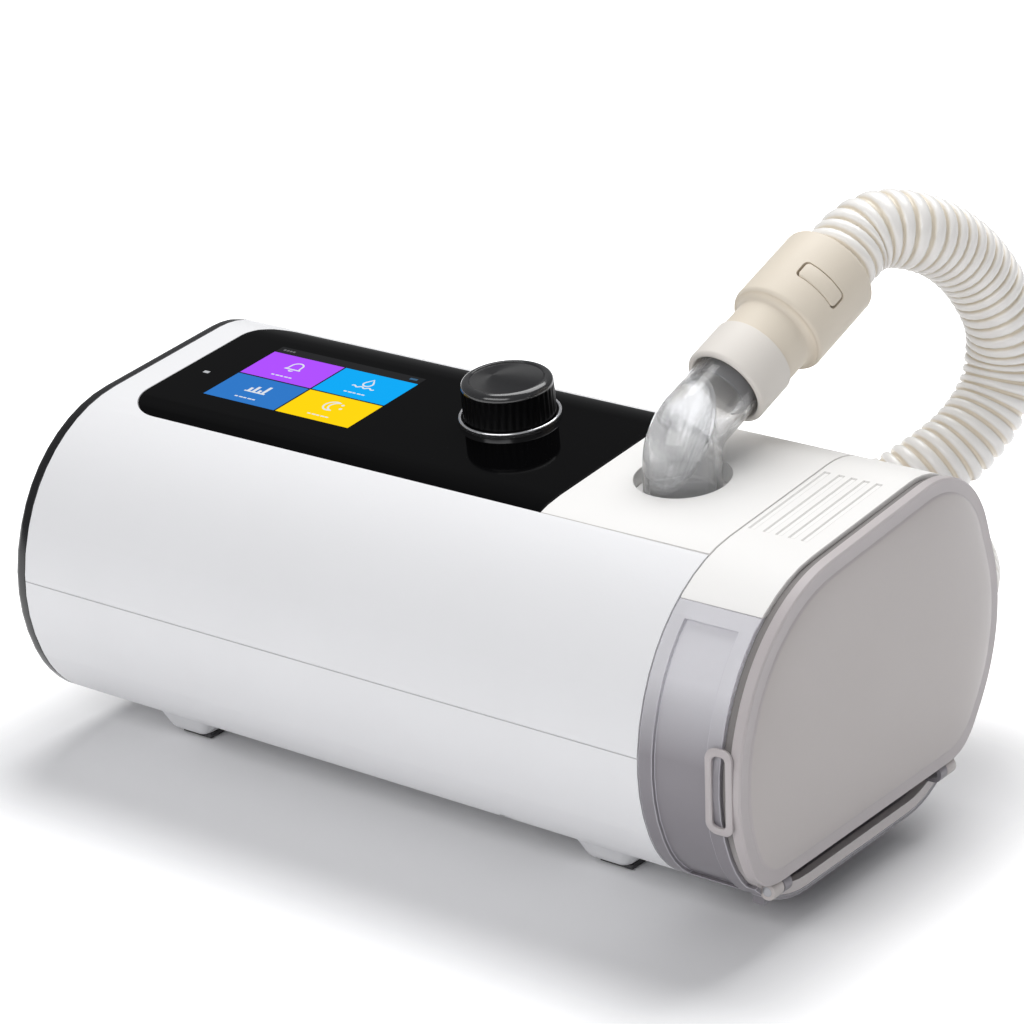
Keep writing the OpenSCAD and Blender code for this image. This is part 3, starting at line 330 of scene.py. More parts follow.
def node_mesh(name):
    """A merged copy of a CAD node's mesh"""
    bm = bmesh.new()
    bm.from_mesh(NODES[name].data)
    bmesh.ops.remove_doubles(bm, verts=bm.verts[:], dist=2e-6)
    bmesh.ops.dissolve_limit(bm, angle_limit=math.radians(0.4), verts=bm.verts[:], edges=bm.edges[:],
        use_dissolve_boundaries=False)
    return bm


def soften(bm, width, angle=30.0, segments=2, depth=None):
    """Rounds the sharp edges, or those within a depth of the case's skin, and marks what it makes as edge; the
    white case and plate paint shade where this mark is high, the tank paints a highlight there
    """
    layer = bm.verts.layers.float.get("edge") or bm.verts.layers.float.new("edge")
    sharp = [e for e in bm.edges if e.is_manifold and e.calc_face_angle(0) > math.radians(angle)]
    if depth is not None:
        skin = outline(0)
        near = {v: skin_depth(v.co, skin) <= depth + 5e-6 for v in {v for e in sharp for v in e.verts}}
        sharp = [e for e in sharp if all(near[v] for v in e.verts) and e.calc_length() > 2 * width]
    fresh = set(bevelled(bm, sharp, width, segments, depth is None))
    for vert in {v for face in fresh for v in face.verts}:
        if all(face in fresh for face in vert.link_faces):
            vert[layer] = 1.0


def make(name, bm, materials, body, replaces=(), angle=30.0, even=False):
    """Object of a finished mesh, riding on a body; even keeps its large faces flat in the shading"""
    obj = mesh_object(name, bm, materials)
    for face in obj.data.polygons:
        face.use_smooth = True
    obj.data.set_sharp_from_angle(angle=math.radians(angle))
    if even:
        weights = obj.modifiers.new("Even", "WEIGHTED_NORMAL")
        weights.keep_sharp = True
    if body:
        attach(obj, body)
    if replaces:
        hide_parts(*replaces)
    return obj


def dress_copy(node, name, body, material, width, angle=30.0, depth=None):
    """Copy of a CAD node with rounded edges, in place of the node"""
    bm = node_mesh(node)
    soften(bm, width, angle, depth=depth)
    return make(name, bm, [material], body, (node,), even=True)


def paint(node, material):
    mesh = NODES[node].data
    mesh.materials.clear()
    mesh.materials.append(material)


# Materials
def feed(tree, socket, value):
    """Sets a socket to a value, or links it to the socket that is given"""
    if isinstance(value, bpy.types.NodeSocket):
        tree.links.new(value, socket)
    else:
        socket.default_value = value


def node(tree, kind, *values, **named):
    """New shader node; its inputs come in order or by capital name, and its own settings by small name"""
    made = tree.nodes.new("ShaderNode" + kind)
    for key, value in named.items():
        if key[0].islower():
            setattr(made, key, value)
    for key, value in named.items():
        if key[0].isupper():
            feed(tree, made.inputs[key.replace("_", " ")], value)
    for socket, value in zip(made.inputs, values):
        feed(tree, socket, value)
    return made


def shader_group(name, inputs, outputs, build):
    tree = bpy.data.node_groups.get(name)
    if tree:
        return tree
    tree = bpy.data.node_groups.new(name, "ShaderNodeTree")
    for label, kind, value in inputs:
        tree.interface.new_socket(label, in_out="INPUT", socket_type="NodeSocket" + kind).default_value = value
    for label, kind in outputs:
        tree.interface.new_socket(label, in_out="OUTPUT", socket_type="NodeSocket" + kind)
    given, results = tree.nodes.new("NodeGroupInput").outputs, tree.nodes.new("NodeGroupOutput").inputs
    for label, socket in build(tree, given).items():
        tree.links.new(socket, results[label])
    return tree


def marks_group():
    """Soft unevenness of colour and gloss, as handling and moulding leave it"""
    def build(tree, given):
        place = node(tree, "TexCoord").outputs["Object"]
        noise = node(tree, "TexNoise", Vector=place, Scale=given["Scale"], Detail=4).outputs["Fac"]
        spread = node(tree, "MapRange", Value=noise, From_Min=0.3, From_Max=0.7).outputs["Result"]
        amount = node(tree, "Math", spread, given["Amount"], operation="MULTIPLY").outputs[0]
        shade = node(tree, "Mix", data_type="RGBA", blend_type="MULTIPLY", Factor=amount, A=given["Color"],
            B=(0.78, 0.77, 0.76, 1))
        gloss = node(tree, "Math", spread, given["Spread"], given["Roughness"], operation="MULTIPLY_ADD")
        return {"Color": shade.outputs["Result"], "Roughness": gloss.outputs[0]}
    return shader_group("HandlingMarks",
        [("Color", "Color", (0.8, 0.8, 0.8, 1)), ("Amount", "Float", 0.1), ("Scale", "Float", 40.0),
         ("Roughness", "Float", 0.4), ("Spread", "Float", 0.06)],
        [("Color", "Color"), ("Roughness", "Float")], build)


def grain_group():
    """Fine spark-eroded grain of a moulding"""
    def build(tree, given):
        place = node(tree, "TexCoord").outputs["Object"]
        noise = node(tree, "TexNoise", Vector=place, Scale=given["Scale"], Detail=2).outputs["Fac"]
        bump = node(tree, "Bump", Height=noise, Strength=given["Strength"], Distance=0.0002)
        return {"Normal": bump.outputs["Normal"]}
    return shader_group("MouldedGrain", [("Scale", "Float", 1800.0), ("Strength", "Float", 0.1)],
        [("Normal", "Vector")], build)


def surface(name, color, rough, grain=0.08, grain_scale=1800.0, amount=0.06, scale=30.0, spread=0.06, **sockets):
    """Principled surface with the shared marks and grain; sockets are set on the shader itself"""
    mat = bpy.data.materials.get(name)
    if mat:
        return mat
    mat = bpy.data.materials.new(name)
    mat.use_nodes = True
    tree = mat.node_tree
    shader = tree.nodes["Principled BSDF"]
    marks = node(tree, "Group", node_tree=marks_group(), Color=(*color, 1), Amount=amount, Scale=scale,
        Roughness=rough, Spread=spread)
    for label in ("Color", "Roughness"):
        feed(tree, shader.inputs[label.replace("Color", "Base Color")], marks.outputs[label])
    if grain:
        bump = node(tree, "Group", node_tree=grain_group(), Scale=grain_scale, Strength=grain)
        feed(tree, shader.inputs["Normal"], bump.outputs["Normal"])
    for label, value in sockets.items():
        feed(tree, shader.inputs[label.replace("_", " ")], value)
    return mat


def tinted_by(mat, source, color, low=0.0, high=1.0):
    """Mixes another colour in where a mesh attribute, or the height, is high"""
    tree = mat.node_tree
    if tree.nodes.get("Tint " + source):
        return mat
    base = tree.nodes["Principled BSDF"].inputs["Base Color"]
    if source == "height":
        value = node(tree, "SeparateXYZ", node(tree, "TexCoord").outputs["Object"]).outputs["Z"]
    else:
        value = node(tree, "Attribute", attribute_name=source).outputs["Fac"]
    reach = node(tree, "MapRange", Value=value, From_Min=low, From_Max=high)
    mix = node(tree, "Mix", name="Tint " + source, data_type="RGBA", Factor=reach.outputs["Result"],
        A=base.links[0].from_socket, B=(*color, 1))
    feed(tree, base, mix.outputs["Result"])
    return mat


def case_white():
    mat = surface("CaseWhite", (0.82, 0.82, 0.835), 0.42, Specular_IOR_Level=0.35)
    # Painted shade: the rounded seams and joints (edge mark) darker, standing in for the shadow in the thin gaps
    # between parts
    return tinted_by(mat, "edge", (0.3, 0.3, 0.31), 0.3, 1.0)


def plate_white():
    mat = surface("PlateWhite", (0.86, 0.85, 0.835), 0.45, Specular_IOR_Level=0.35)
    # Painted shade: the plate's rounded seams and joints (edge mark) darker, standing in for the shadow in the
    # gaps beside them
    return tinted_by(mat, "edge", (0.5, 0.48, 0.46), 0.3, 1.0)


def cream():
    return surface("CollarCream", (0.77, 0.695, 0.585), 0.42, amount=0.1, scale=60, Specular_IOR_Level=0.35)


def glow(name, color, strength):
    mat = surface(name, tuple(c * 0.03 for c in color), 0.15, grain=0.0, amount=0.05, scale=90,
        Specular_IOR_Level=0.02)
    shader = mat.node_tree.nodes["Principled BSDF"]
    shader.inputs["Emission Color"].default_value = (*color, 1)
    shader.inputs["Emission Strength"].default_value = strength
    return mat


# Operators
class BILEVEL_OT_camera(Operator):
    """Sets the camera where the photograph was taken from"""
    bl_idname = "bilevel.camera"
    bl_label = "Camera"

    def execute(self, context):
        s = context.scene.bilevel_camera
        data = bpy.data.cameras.new("Camera")
        data.lens = s.lens
        data.sensor_width = 36
        data.sensor_fit = "HORIZONTAL"
        data.clip_start, data.clip_end = 0.05, 30
        obj = bpy.data.objects.new("Camera", data)
        obj.location = s.place
        obj.rotation_euler = Euler(s.turn)
        context.scene.collection.objects.link(obj)
        context.scene.camera = obj
        return {"FINISHED"}


# The hose's route in the CAD's points, the first point of its folded rest, and the measures of the folds
ROUTE = (
    (0.081, 0.096, 0.1675), (0.0865, 0.106, 0.165), (0.0905, 0.119, 0.158), (0.094, 0.132, 0.146),
    (0.0975, 0.1415, 0.129), (0.0965, 0.145, 0.114), (0.0955, 0.140, 0.1005), (0.092, 0.128, 0.0895),
    (0.084, 0.113, 0.0805), (0.0745, 0.104, 0.0735), (0.063, 0.0995, 0.067), (0.050, 0.099, 0.0605),
    (0.036, 0.102, 0.054), (0.022, 0.108, 0.047), (0.008, 0.1164, 0.0398), (-0.006, 0.1236, 0.032),
    (-0.021, 0.1284, 0.0242), (-0.036, 0.1296, 0.0186), (-0.052, 0.1296, 0.0156))
HANK = (-0.105, 0.078, 0.0142)
RUN_LEFT, RUN_RIGHT, RUN_PITCH, FOLD, LAST_RUN = -0.147, -0.005, 0.0258, 0.073, 0.195


def fold(x, y0, y1, side, count):
    middle, radius = (y0 + y1) / 2, (y1 - y0) / 2
    return [Vector((x + side * abs(radius) * math.sin(math.pi * k / count),
        middle - radius * math.cos(math.pi * k / count), HANK[2])) for k in range(count + 1)]


def hose_path(count):
    """The free part's curve and the folded part's runs and folds"""
    near = [HANK[1] + k * RUN_PITCH for k in range(3)]
    far = [HANK[1] + 2 * FOLD - k * RUN_PITCH for k in range(2)]
    out = SEAT + ARM * 0.025
    into = Vector((HANK[0] + 0.035, near[2], HANK[2]))
    knots = [out] + [Vector(p) for p in ROUTE] + [into]
    posts = [out - ARM * (knots[1] - out).length] + knots + [into - Vector(((into - knots[-2]).length, 0, 0))]
    curve = []
    for i in range(1, len(posts) - 2):
        p, q, r, s = posts[i - 1:i + 3]
        for k in range(count):
            u = k / count
            curve.append(0.5 * (2 * q + (r - p) * u + (2 * p - 5 * q + 4 * r - s) * u * u
                + (3 * q - p - 3 * r + s) * u * u * u))
    folded = [Vector((HANK[0], near[2], HANK[2]))]
    folded += fold(RUN_LEFT, near[2], far[1], -1, 4 * count) + fold(RUN_RIGHT, far[1], near[1], 1, 4 * count)
    folded += fold(RUN_LEFT, near[1], far[0], -1, 4 * count) + fold(RUN_RIGHT, far[0], near[0], 1, 4 * count)
    folded.append(Vector((RUN_RIGHT - LAST_RUN, near[0], HANK[2])))
    return [SEAT] + curve + [into] + folded


def carried(path, step=0.002):
    """Stations every few millimetres of a path, each with its place and two directions square to it"""
    total = lengths(path)[-1]
    count = round(total / step)
    places = spread(path, count)
    frames = []
    v = Vector((1, 0, 0))
    for i, place in enumerate(places):
        way = (places[min(i + 1, count)] - places[max(i - 1, 0)]).normalized()
        v = (v - way * v.dot(way)).normalized()
        frames.append((place, v, way.cross(v)))
    return total, frames


class BILEVEL_OT_hose(Operator):
    """Makes the beaded hose on its route, with its folded length behind the machine"""
    bl_idname = "bilevel.hose"
    bl_label = "Hose"

    def repeated(self, context, bm, count, pitch):
        """One turn of the bead repeated along Z and merged into one skin"""
        turn = mesh_object("Turn", bm)
        array = turn.modifiers.new("Turns", "ARRAY")
        array.count = count
        array.use_relative_offset = False
        array.use_constant_offset = True
        array.constant_offset_displace = (0, 0, pitch)
        array.use_merge_vertices = True
        array.merge_threshold = 5e-5
        whole = evaluated(context, turn)
        bm = bmesh.new()
        bm.from_mesh(whole)
        bpy.data.meshes.remove(turn.data)
        bpy.data.meshes.remove(whole)
        return bm

    def beads(self, context, s, total):
        """The straight beaded skin, from 0 to its length along Z"""
        rise = s.crest - s.valley
        bead = s.bead * s.pitch
        profile = [(s.valley, 0), (s.valley - 0.0001, 0.5 * (s.pitch - bead))]
        for k in range(7):
            a = math.pi * k / 6
            profile.append((s.valley + rise * math.sin(a) ** 0.75, s.pitch - bead * (1 + math.cos(a)) / 2))
        bm = bmesh.new()
        verts = [bm.verts.new((r, 0, z - s.pitch)) for r, z in profile]
        edges = [bm.edges.new(pair) for pair in zip(verts, verts[1:])]
        bmesh.ops.spin(bm, geom=verts + edges, cent=(0, 0, 0), axis=(0, 0, 1), dvec=(0, 0, s.pitch / s.sides),
            angle=2 * math.pi, steps=s.sides, use_merge=False, use_normal_flip=False, use_duplicate=False)
        bm = self.repeated(context, bm, math.ceil(total / s.pitch) + 2, s.pitch)
        for z, way in ((0.0, -1), (total, 1)):
            sliced(bm, (0, 0, z), (0, 0, way), clear=True)
        bmesh.ops.recalc_face_normals(bm, faces=bm.faces[:])
        return bm

    def bore(self, bm, s, total, sides=12):
        """Adds the smooth bore and joins it to the skin at both ends"""
        rims = [[e for e in bm.edges if e.is_boundary and all(abs(v.co.z - z) < 1e-5 for v in e.verts)]
            for z in (0.0, total)]
        rings = round(total / 0.006)
        inner = []
        for i in range(rings + 1):
            ring = [(s.bore * math.cos(2 * math.pi * k / sides), s.bore * math.sin(2 * math.pi * k / sides))
                for k in range(sides)]
            inner.append([bm.verts.new((x, y, total * i / rings)) for x, y in ring])
        for row, following in zip(inner, inner[1:]):
            joined(bm, following, row)
        for rim, row in zip(rims, (inner[0], inner[-1])):
            ends = rim + [bm.edges.get((row[k - 1], row[k])) for k in range(sides)]
            bmesh.ops.triangle_fill(bm, edges=ends, use_beauty=True, use_dissolve=False)

    def execute(self, context):
        s = context.scene.bilevel_hose
        total, frames = carried(hose_path(10))
        bm = self.beads(context, s, total)
        self.bore(bm, s, total)
        # Height up the bead, which the material turns into a painted highlight on the crests
        rib = bm.verts.layers.float.new("rib")
        for vert in bm.verts:
            x, y, z = vert.co
            vert[rib] = min(1.0, max(0.0, (math.hypot(x, y) - s.valley) / (s.crest - s.valley)))
            t = min(max(z / total, 0.0), 1.0) * (len(frames) - 1)
            k = min(int(t), len(frames) - 2)
            (p, v, w), (q, v2, w2) = frames[k], frames[k + 1]
            u = t - k
            vert.co = p.lerp(q, u) + x * v.lerp(v2, u) + y * w.lerp(w2, u)
        bmesh.ops.recalc_face_normals(bm, faces=bm.faces[:])
        mat = surface("HoseCream", (0.80, 0.72, 0.59), 0.38, grain=0.05, amount=0.1, scale=50,
            Specular_IOR_Level=0.5, Coat_Weight=0.4, Coat_Roughness=0.12)
        # Painted highlight on the bead crests; the valleys keep the darker cream as painted shade
        tinted_by(mat, "rib", (0.91, 0.89, 0.86), 0.1, 0.7)
        obj = make("Hose", bm, [mat], None, ("hose_tube", "hose_hank"), angle=180)
        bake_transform(obj, "root", "elbow", start=(PORT.x, PORT.y, 0.040), end=(PORT.x, PORT.y, 0.143))
        dress_copy("mask_cuff", "MaskCuff", "root",
            surface("CuffGrey", (0.16, 0.165, 0.18), 0.55, grain=0.2, grain_scale=2500), 0.0002)
        dress_copy("hank_tie", "HankTie", "root",
            surface("TieBlack", (0.02, 0.02, 0.022), 0.8, grain=0.6, grain_scale=900), 0.0002)
        context.scene["hose_length"] = total
        return {"FINISHED"}


class BILEVEL_OT_outlet(Operator):
    """Makes the clear elbow, the sleeve, the collar and its release button"""
    bl_idname = "bilevel.outlet"
    bl_label = "Outlet"

    def elbow(self, s):
        up = Vector((0, 0, 1))
        bend = up.angle(ARM)
        across = (ARM - up * ARM.dot(up)).normalized()
        side = up.cross(across)

        def ring(centre, way, radius, steps=64):
            over = side.cross(way).normalized()
            turns = [2 * math.pi * k / steps for k in range(steps)]
            return [centre + radius * (side * math.cos(a) + over * math.sin(a)) for a in turns]
        low = Vector((CORNER.x, CORNER.y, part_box("elbow")[0][2]))
        mouth = CORNER + ARM * 0.0365
        reach = s.bend * math.tan(bend / 2)
        pivot = CORNER - up * reach + across * s.bend
        outer = [ring(low, up, s.foot - 0.0004), ring(low + up * 0.0004, up, s.foot),
            ring(CORNER - up * (reach + 0.001), up, s.foot)]
        count = 14
        for k in range(count + 1):
            a = bend * k / count
            way = up * math.cos(a) + across * math.sin(a)
            out = up * math.sin(a) - across * math.cos(a)
            outer.append(ring(pivot + out * s.bend, way, s.foot + (s.arm - s.foot) * k / count))
        outer += [ring(mouth - ARM * 0.0005, ARM, s.arm), ring(mouth, ARM, s.arm - 0.0003)]
        bore, foot_bore = s.arm - s.wall, s.foot - s.wall
        inner = [ring(mouth, ARM, bore + 0.0002), ring(CORNER + ARM * 0.012, ARM, bore)]
        mitre = (up - ARM).normalized()
        for way, radius in ((ARM, bore), (up, foot_bore)):
            inner.append([p - way * ((p - CORNER).dot(mitre) / way.dot(mitre)) for p in ring(CORNER, way, radius)])
        inner += [ring(CORNER - up * 0.012, up, foot_bore), ring(low, up, foot_bore)]
        bm = bmesh.new()
        lofted(bm, outer + inner, close=True)
        clear = surface("ElbowClear", (0.93, 0.933, 0.94), 0.04, grain=0.0, amount=0.01, spread=0.01,
            Transmission_Weight=0.94, IOR=1.25, Coat_Weight=0.6, Coat_Roughness=0.04, Alpha=0.8)
        make("Elbow", bm, [clear], "elbow", ("elbow",), 25)

    def sleeve(self, s):
        bm = bmesh.new()
        spun(bm, filleted([(s.sleeve - 0.00185, 0.0220, 0.0004), (s.sleeve, 0.0220, 0.0011),
            (s.sleeve, 0.0369, 0.0003), (s.arm + 0.0001, 0.0369, 0), (s.arm + 0.0001, 0.0245, 0)]), 96)
        bm.transform(on_arm(0))
        make("HoseSleeve", bm, [surface("SleeveWhite", (0.77, 0.73, 0.68), 0.45, Specular_IOR_Level=0.35)],
            "elbow", ("hose_sleeve",))
        bm = bmesh.new()
        liner = [(0.0080, 0.0190), (0.0087, 0.0190), (0.0087, 0.0362), (0.0080, 0.0362)]
        spun(bm, liner, 40, sweep=math.radians(200))
        bmesh.ops.holes_fill(bm, edges=[e for e in bm.edges if e.is_boundary], sides=0)
        bm.transform(on_arm(0, math.radians(-30)))
        make("InnerLiner", bm, [surface("LinerGrey", (0.2, 0.195, 0.2), 0.4)], "elbow")

    def wrapped(self, width, depth, radius, low, high, bevel=0):
        """Rounded bar bent round the arm's axis, from one radius to another"""
        bm = bmesh.new()
        face = bm.faces.new([bm.verts.new((p.x, p.y, low)) for p in rounded(width / 2, depth / 2, radius, 5)])
        top = raised(bm, face, high - low)
        if bevel:
            bevelled(bm, [e for e in bm.edges if all(v in top for v in e.verts)], bevel, 3, True)
        cuts = 16
        for k in range(1, cuts):
            sliced(bm, (width * (k / cuts - 0.5), 0, 0), (1, 0, 0))
        for vert in bm.verts:
            angle, r = vert.co.x / BUTTON_BEND, vert.co.z
            vert.co = Vector((r * math.cos(angle), r * math.sin(angle), vert.co.y))
        bmesh.ops.recalc_face_normals(bm, faces=bm.faces[:])
        bm.transform(on_arm(0.0625, math.radians(48)))
        return bm

    def collar(self, context, s):
        bm = bmesh.new()
        spun(bm, filleted([(0.0095, 0.0370, 0), (s.neck, 0.0370, 0.0004), (s.neck, 0.0490, 0.0022),
            (s.collar, 0.0490, 0.0016), (s.collar, 0.0780, 0.0012), (0.0127, 0.0780, 0.0004), (0.0127, 0.0675, 0),
            (0.0095, 0.0675, 0)], 7), 112)
        bm.transform(on_arm(0))
        obj = make("HoseCollar", bm, [cream()], "elbow", ("hose_collar",))
        cutter = mesh_object("Cutter", self.wrapped(s.button + 0.0016, 0.0066, 0.0017, 0.0113, 0.0180))
        cut = obj.modifiers.new("Pocket", "BOOLEAN")
        cut.operation = "DIFFERENCE"
        cut.solver = "EXACT"
        cut.object = cutter
        shape = evaluated(context, obj)
        obj.modifiers.clear()
        obj.data = shape
        bpy.data.objects.remove(cutter)
        make("ReleaseButton", self.wrapped(s.button, 0.0058, 0.0014, 0.0131, s.collar + 0.0002, 0.0005), [cream()],
            "release_button", ("release_button",))

    def execute(self, context):
        s = context.scene.bilevel_outlet
        self.elbow(s)
        self.sleeve(s)
        self.collar(context, s)
        return {"FINISHED"}


# Depth of the six steps of one flute, as shares of its full depth
FLUTE = (1.0, 1.0, 0.55, 0.0, 0.0, 0.55)


class BILEVEL_OT_knob(Operator):
    """Makes the fluted knob and its bright ring"""
    bl_idname = "bilevel.knob"
    bl_label = "Knob"

    def flutes(self, bm, s, steps):
        """Presses the flutes into the side"""
        for vert in bm.verts:
            x, y, z = vert.co
            radius = math.hypot(x, y)
            if radius > s.radius - 0.00005 and 0.0013 < z < s.height - 0.0028:
                k = round(math.atan2(y, x) / (2 * math.pi) * steps) % len(FLUTE)
                vert.co.xy *= 1 - s.depth * FLUTE[k] / radius

    def turning_marks(self, bm):
        """UV map whose U runs round the knob, for the brushed top"""
        layer = bm.loops.layers.uv.new("Turning")
        for face in bm.faces:
            for loop in face.loops:
                x, y, _ = loop.vert.co
                loop[layer].uv = (math.atan2(y, x) / (2 * math.pi), math.hypot(x, y) * 20)
            spread = [loop[layer].uv[0] for loop in face.loops]
            if max(spread) - min(spread) > 0.5:
                for loop in face.loops:
                    loop[layer].uv[0] += loop[layer].uv[0] < 0

    def execute(self, context):
        s = context.scene.bilevel_knob
        r, top, rim = s.radius, s.height, s.radius - 0.0030
        bm = bmesh.new()
        steps = s.flutes * len(FLUTE)
        spun(bm, filleted([(0, 0, 0), (r - 0.0004, 0, 0.0002), (r, 0.0006, 0.0002), (r, 0.0014, 0),
            (r, top - 0.0030, 0), (r, top - 0.0022, 0), (r, top, 0.0021), (r - 0.0026, top, 0.0003),
            (rim, top - 0.0005, 0.0003), (0, top - 0.0005, 0)], 5), steps, closed=False)
        self.flutes(bm, s, steps)
        self.turning_marks(bm)
        for face in bm.faces:
            middle = face.calc_center_median()
            if middle.z > top - 0.0020:
                face.material_index = 1 if middle.xy.length < rim else 2
        bm.transform(on_top(*s.place, s.gap))
        black = surface("KnobBlack", (0.003, 0.003, 0.0033), 0.3, grain=0.05, grain_scale=2500,
            Specular_IOR_Level=0.1)
        brushed = surface("KnobTop", (0.006, 0.006, 0.007), 0.34, grain=0.02, amount=0.15, scale=200,
            Specular_IOR_Level=0.22, Anisotropic=0.75)
        tangent = node(brushed.node_tree, "Tangent", direction_type="UV_MAP", uv_map="Turning")
        feed(brushed.node_tree, brushed.node_tree.nodes["Principled BSDF"].inputs["Tangent"], tangent.outputs[0])
        polished = surface("KnobRim", (0.02, 0.02, 0.021), 0.1, grain=0.0, Specular_IOR_Level=0.7)
        make("Knob", bm, [black, brushed, polished], "knob", ("knob",), 28)
        bm = bmesh.new()
        spun(bm, filleted([(0.0151, 0.00005, 0), (0.0162, 0.00005, 0), (0.0162, 0.0018, 0.0005),
            (0.0151, 0.0018, 0.0004)]), 128)
        bm.transform(on_top(*s.place))
        make("KnobRing", bm, [surface("RingSilver", (0.82, 0.82, 0.84), 0.14, grain=0.02, amount=0.04,
            Metallic=1.0)], "root", ("knob_ring",))
        return {"FINISHED"}


# Number of the motifs' white among the screen's materials
WHITE = 5


class BILEVEL_OT_panel(Operator):
    """Makes the gloss panel and the lit screen with its tiles"""
    bl_idname = "bilevel.panel"
    bl_label = "Panel"

    def slab(self, bm, x0, y0, x1, y1, low, high, index=0):
        """Thin tile on the panel, in metres from the screen's corner"""
        face = bm.faces.new([bm.verts.new((x, y, low)) for x, y in ((x0, y0), (x1, y0), (x1, y1), (x0, y1))])
        top = raised(bm, face, high - low)
        for f in {f for v in [*face.verts, *top] for f in v.link_faces}:
            f.material_index = index

    def stroke(self, bm, points, width, low, high, closed=False):
        """White line of even width along points"""
        points = [Vector(p) for p in points]
        count = len(points)
        rows = []
        for i, p in enumerate(points):
            before = points[(i - 1) % count] if closed or i > 0 else p
            after = points[(i + 1) % count] if closed or i < count - 1 else p
            way = (after - before).normalized()
            across = Vector((-way.y, way.x)) * width / 2
            corners = ((1, low), (-1, low), (-1, high), (1, high))
            rows.append([bm.verts.new((*(p + across * k), h)) for k, h in corners])
        faces = []
        for row, following in zip(rows, rows[1:] + rows[:1] if closed else rows[1:]):
            faces += joined(bm, row, following)
        if not closed:
            faces += [bm.faces.new(rows[0]), bm.faces.new(list(reversed(rows[-1])))]
        for face in faces:
            face.material_index = WHITE

    def arc(self, x, y, r, start, end, count=24):
        angles = [math.radians(start + (end - start) * k / count) for k in range(count + 1)]
        return [(x + r * math.cos(a), y + r * math.sin(a)) for a in angles]

    def motifs(self, bm, centres, width):
        """A bell, a drop on waves, a bar chart and a crescent moon, in millimetres from their tile's middle"""
        def line(centre, points, closed=False, wide=1.0):
            self.stroke(bm, [(centre[0] + x * 0.001, centre[1] + y * 0.001) for x, y in points], width * wide,
                0.00004, 0.00009, closed)
        bell, drop, bars, moon = centres
        line(bell, [(-3.2, -1.4), (-2.3, -0.6), (-2.2, 1.0)] + self.arc(0, 1.0, 2.2, 180, 0, 14)[1:]
            + [(2.3, -0.6), (3.2, -1.4)], True)
        line(bell, self.arc(0, -1.9, 0.8, 200, 340, 8))
        line(drop, [(0, 3.6), (-1.5, 1.2)] + self.arc(0, 0.4, 1.7, 160, 380, 18)[1:-1] + [(1.5, 1.2)], True)
        line(drop, [(-4.5 + 0.5 * k, 0.45 * math.sin(k * math.pi / 3) - 2.4) for k in range(19)])
        for x, height in ((-2.6, 2.2), (-0.6, 3.6), (1.4, 1.6), (3.2, 4.8)):
            line(bars, [(x, -2.0), (x, -2.0 + height)], wide=1.8)
        line(bars, [(-4.0, -2.4), (4.4, -2.4)])
        line(moon, self.arc(0, 0.4, 3.0, 60, 300, 26) + self.arc(1.7, 0.4, 2.75, 259, 101, 22), True)
        for x, y in ((2.9, 2.2), (3.8, -0.2)):
            line(moon, [(x - 0.5, y), (x + 0.5, y)])
            line(moon, [(x, y - 0.5), (x, y + 0.5)])

    def tiles(self, bm, s):
        rows = (s.depth - s.strip - 2 * s.gap) / 2
        columns = (s.width - s.gap) / 2
        spots = []
        for k, (column, row) in enumerate(((0, 1), (1, 1), (0, 0), (1, 0))):
            left, low = column * (columns + s.gap), row * (rows + s.gap)
            self.slab(bm, left, low, left + columns, low + rows, 0.00001, 0.00004, k + 1)
            spots.append((left + columns / 2, low + rows * 0.58))
        self.motifs(bm, spots, s.stroke)
        for x, y in spots:
            for j in range(5):
                left = x - 0.0042 + 0.0018 * j
                right = left + 0.0012 + 0.0003 * (j % 2)
                self.slab(bm, left, y - 0.0072, right, y - 0.0066, 0.00004, 0.00008, WHITE)

    def execute(self, context):
        s = context.scene.bilevel_screen
        gloss = surface("PanelBlack", (0.0018, 0.0018, 0.002), 0.05, grain=0.0, amount=0.1, spread=0.02,
            Specular_IOR_Level=0.03)
        dress_copy("control_panel", "ControlPanel", "root", gloss,
            context.scene.bilevel_case.fine_edge)
        bm = bmesh.new()
        self.slab(bm, 0, 0, s.width, s.depth, -0.0001, 0.00002)
        self.tiles(bm, s)
        marks = s.depth - s.strip + 0.0012
        for j in range(4):
            left = 0.002 + 0.0013 * j
            self.slab(bm, left, marks, left + 0.0009, marks + 0.0009, 0.00002, 0.00006, 6)
        self.slab(bm, s.width - 0.0052, marks, s.width - 0.0022, marks + 0.0011, 0.00002, 0.00006, 7)
        bm.transform(on_top(0, 0) @ Matrix.Translation((s.corner[0], s.corner[1] / math.cos(TILT), 0)))
        bmesh.ops.recalc_face_normals(bm, faces=bm.faces[:])
        colors = [surface("ScreenDark", (0.006, 0.006, 0.007), 0.1, grain=0.0, Specular_IOR_Level=0.1),
            glow("TilePurple", (0.42, 0.075, 0.97), 1.0), glow("TileCyan", (0.0, 0.39, 0.9), 1.0),
            glow("TileBlue", (0.025, 0.18, 0.56), 1.0), glow("TileYellow", (0.98, 0.66, 0.0), 1.0),
            glow("MotifWhite", (0.85, 0.9, 0.95), 0.85), glow("MarkGrey", (0.3, 0.3, 0.32), 0.5),
            glow("MarkBlue", (0.08, 0.2, 0.35), 0.6)]
        make("ScreenTiles", bm, colors, "root")
        bm = bmesh.new()
        self.slab(bm, -0.0011, -0.0007, 0.0011, 0.0007, -0.0001, 0.00005)
        bm.transform(on_top(-0.1153, -0.0009))
        bmesh.ops.recalc_face_normals(bm, faces=bm.faces[:])
        make("LampMark", bm, [glow("LampWhite", (0.8, 0.82, 0.85), 0.6)], "root")
        return {"FINISHED"}


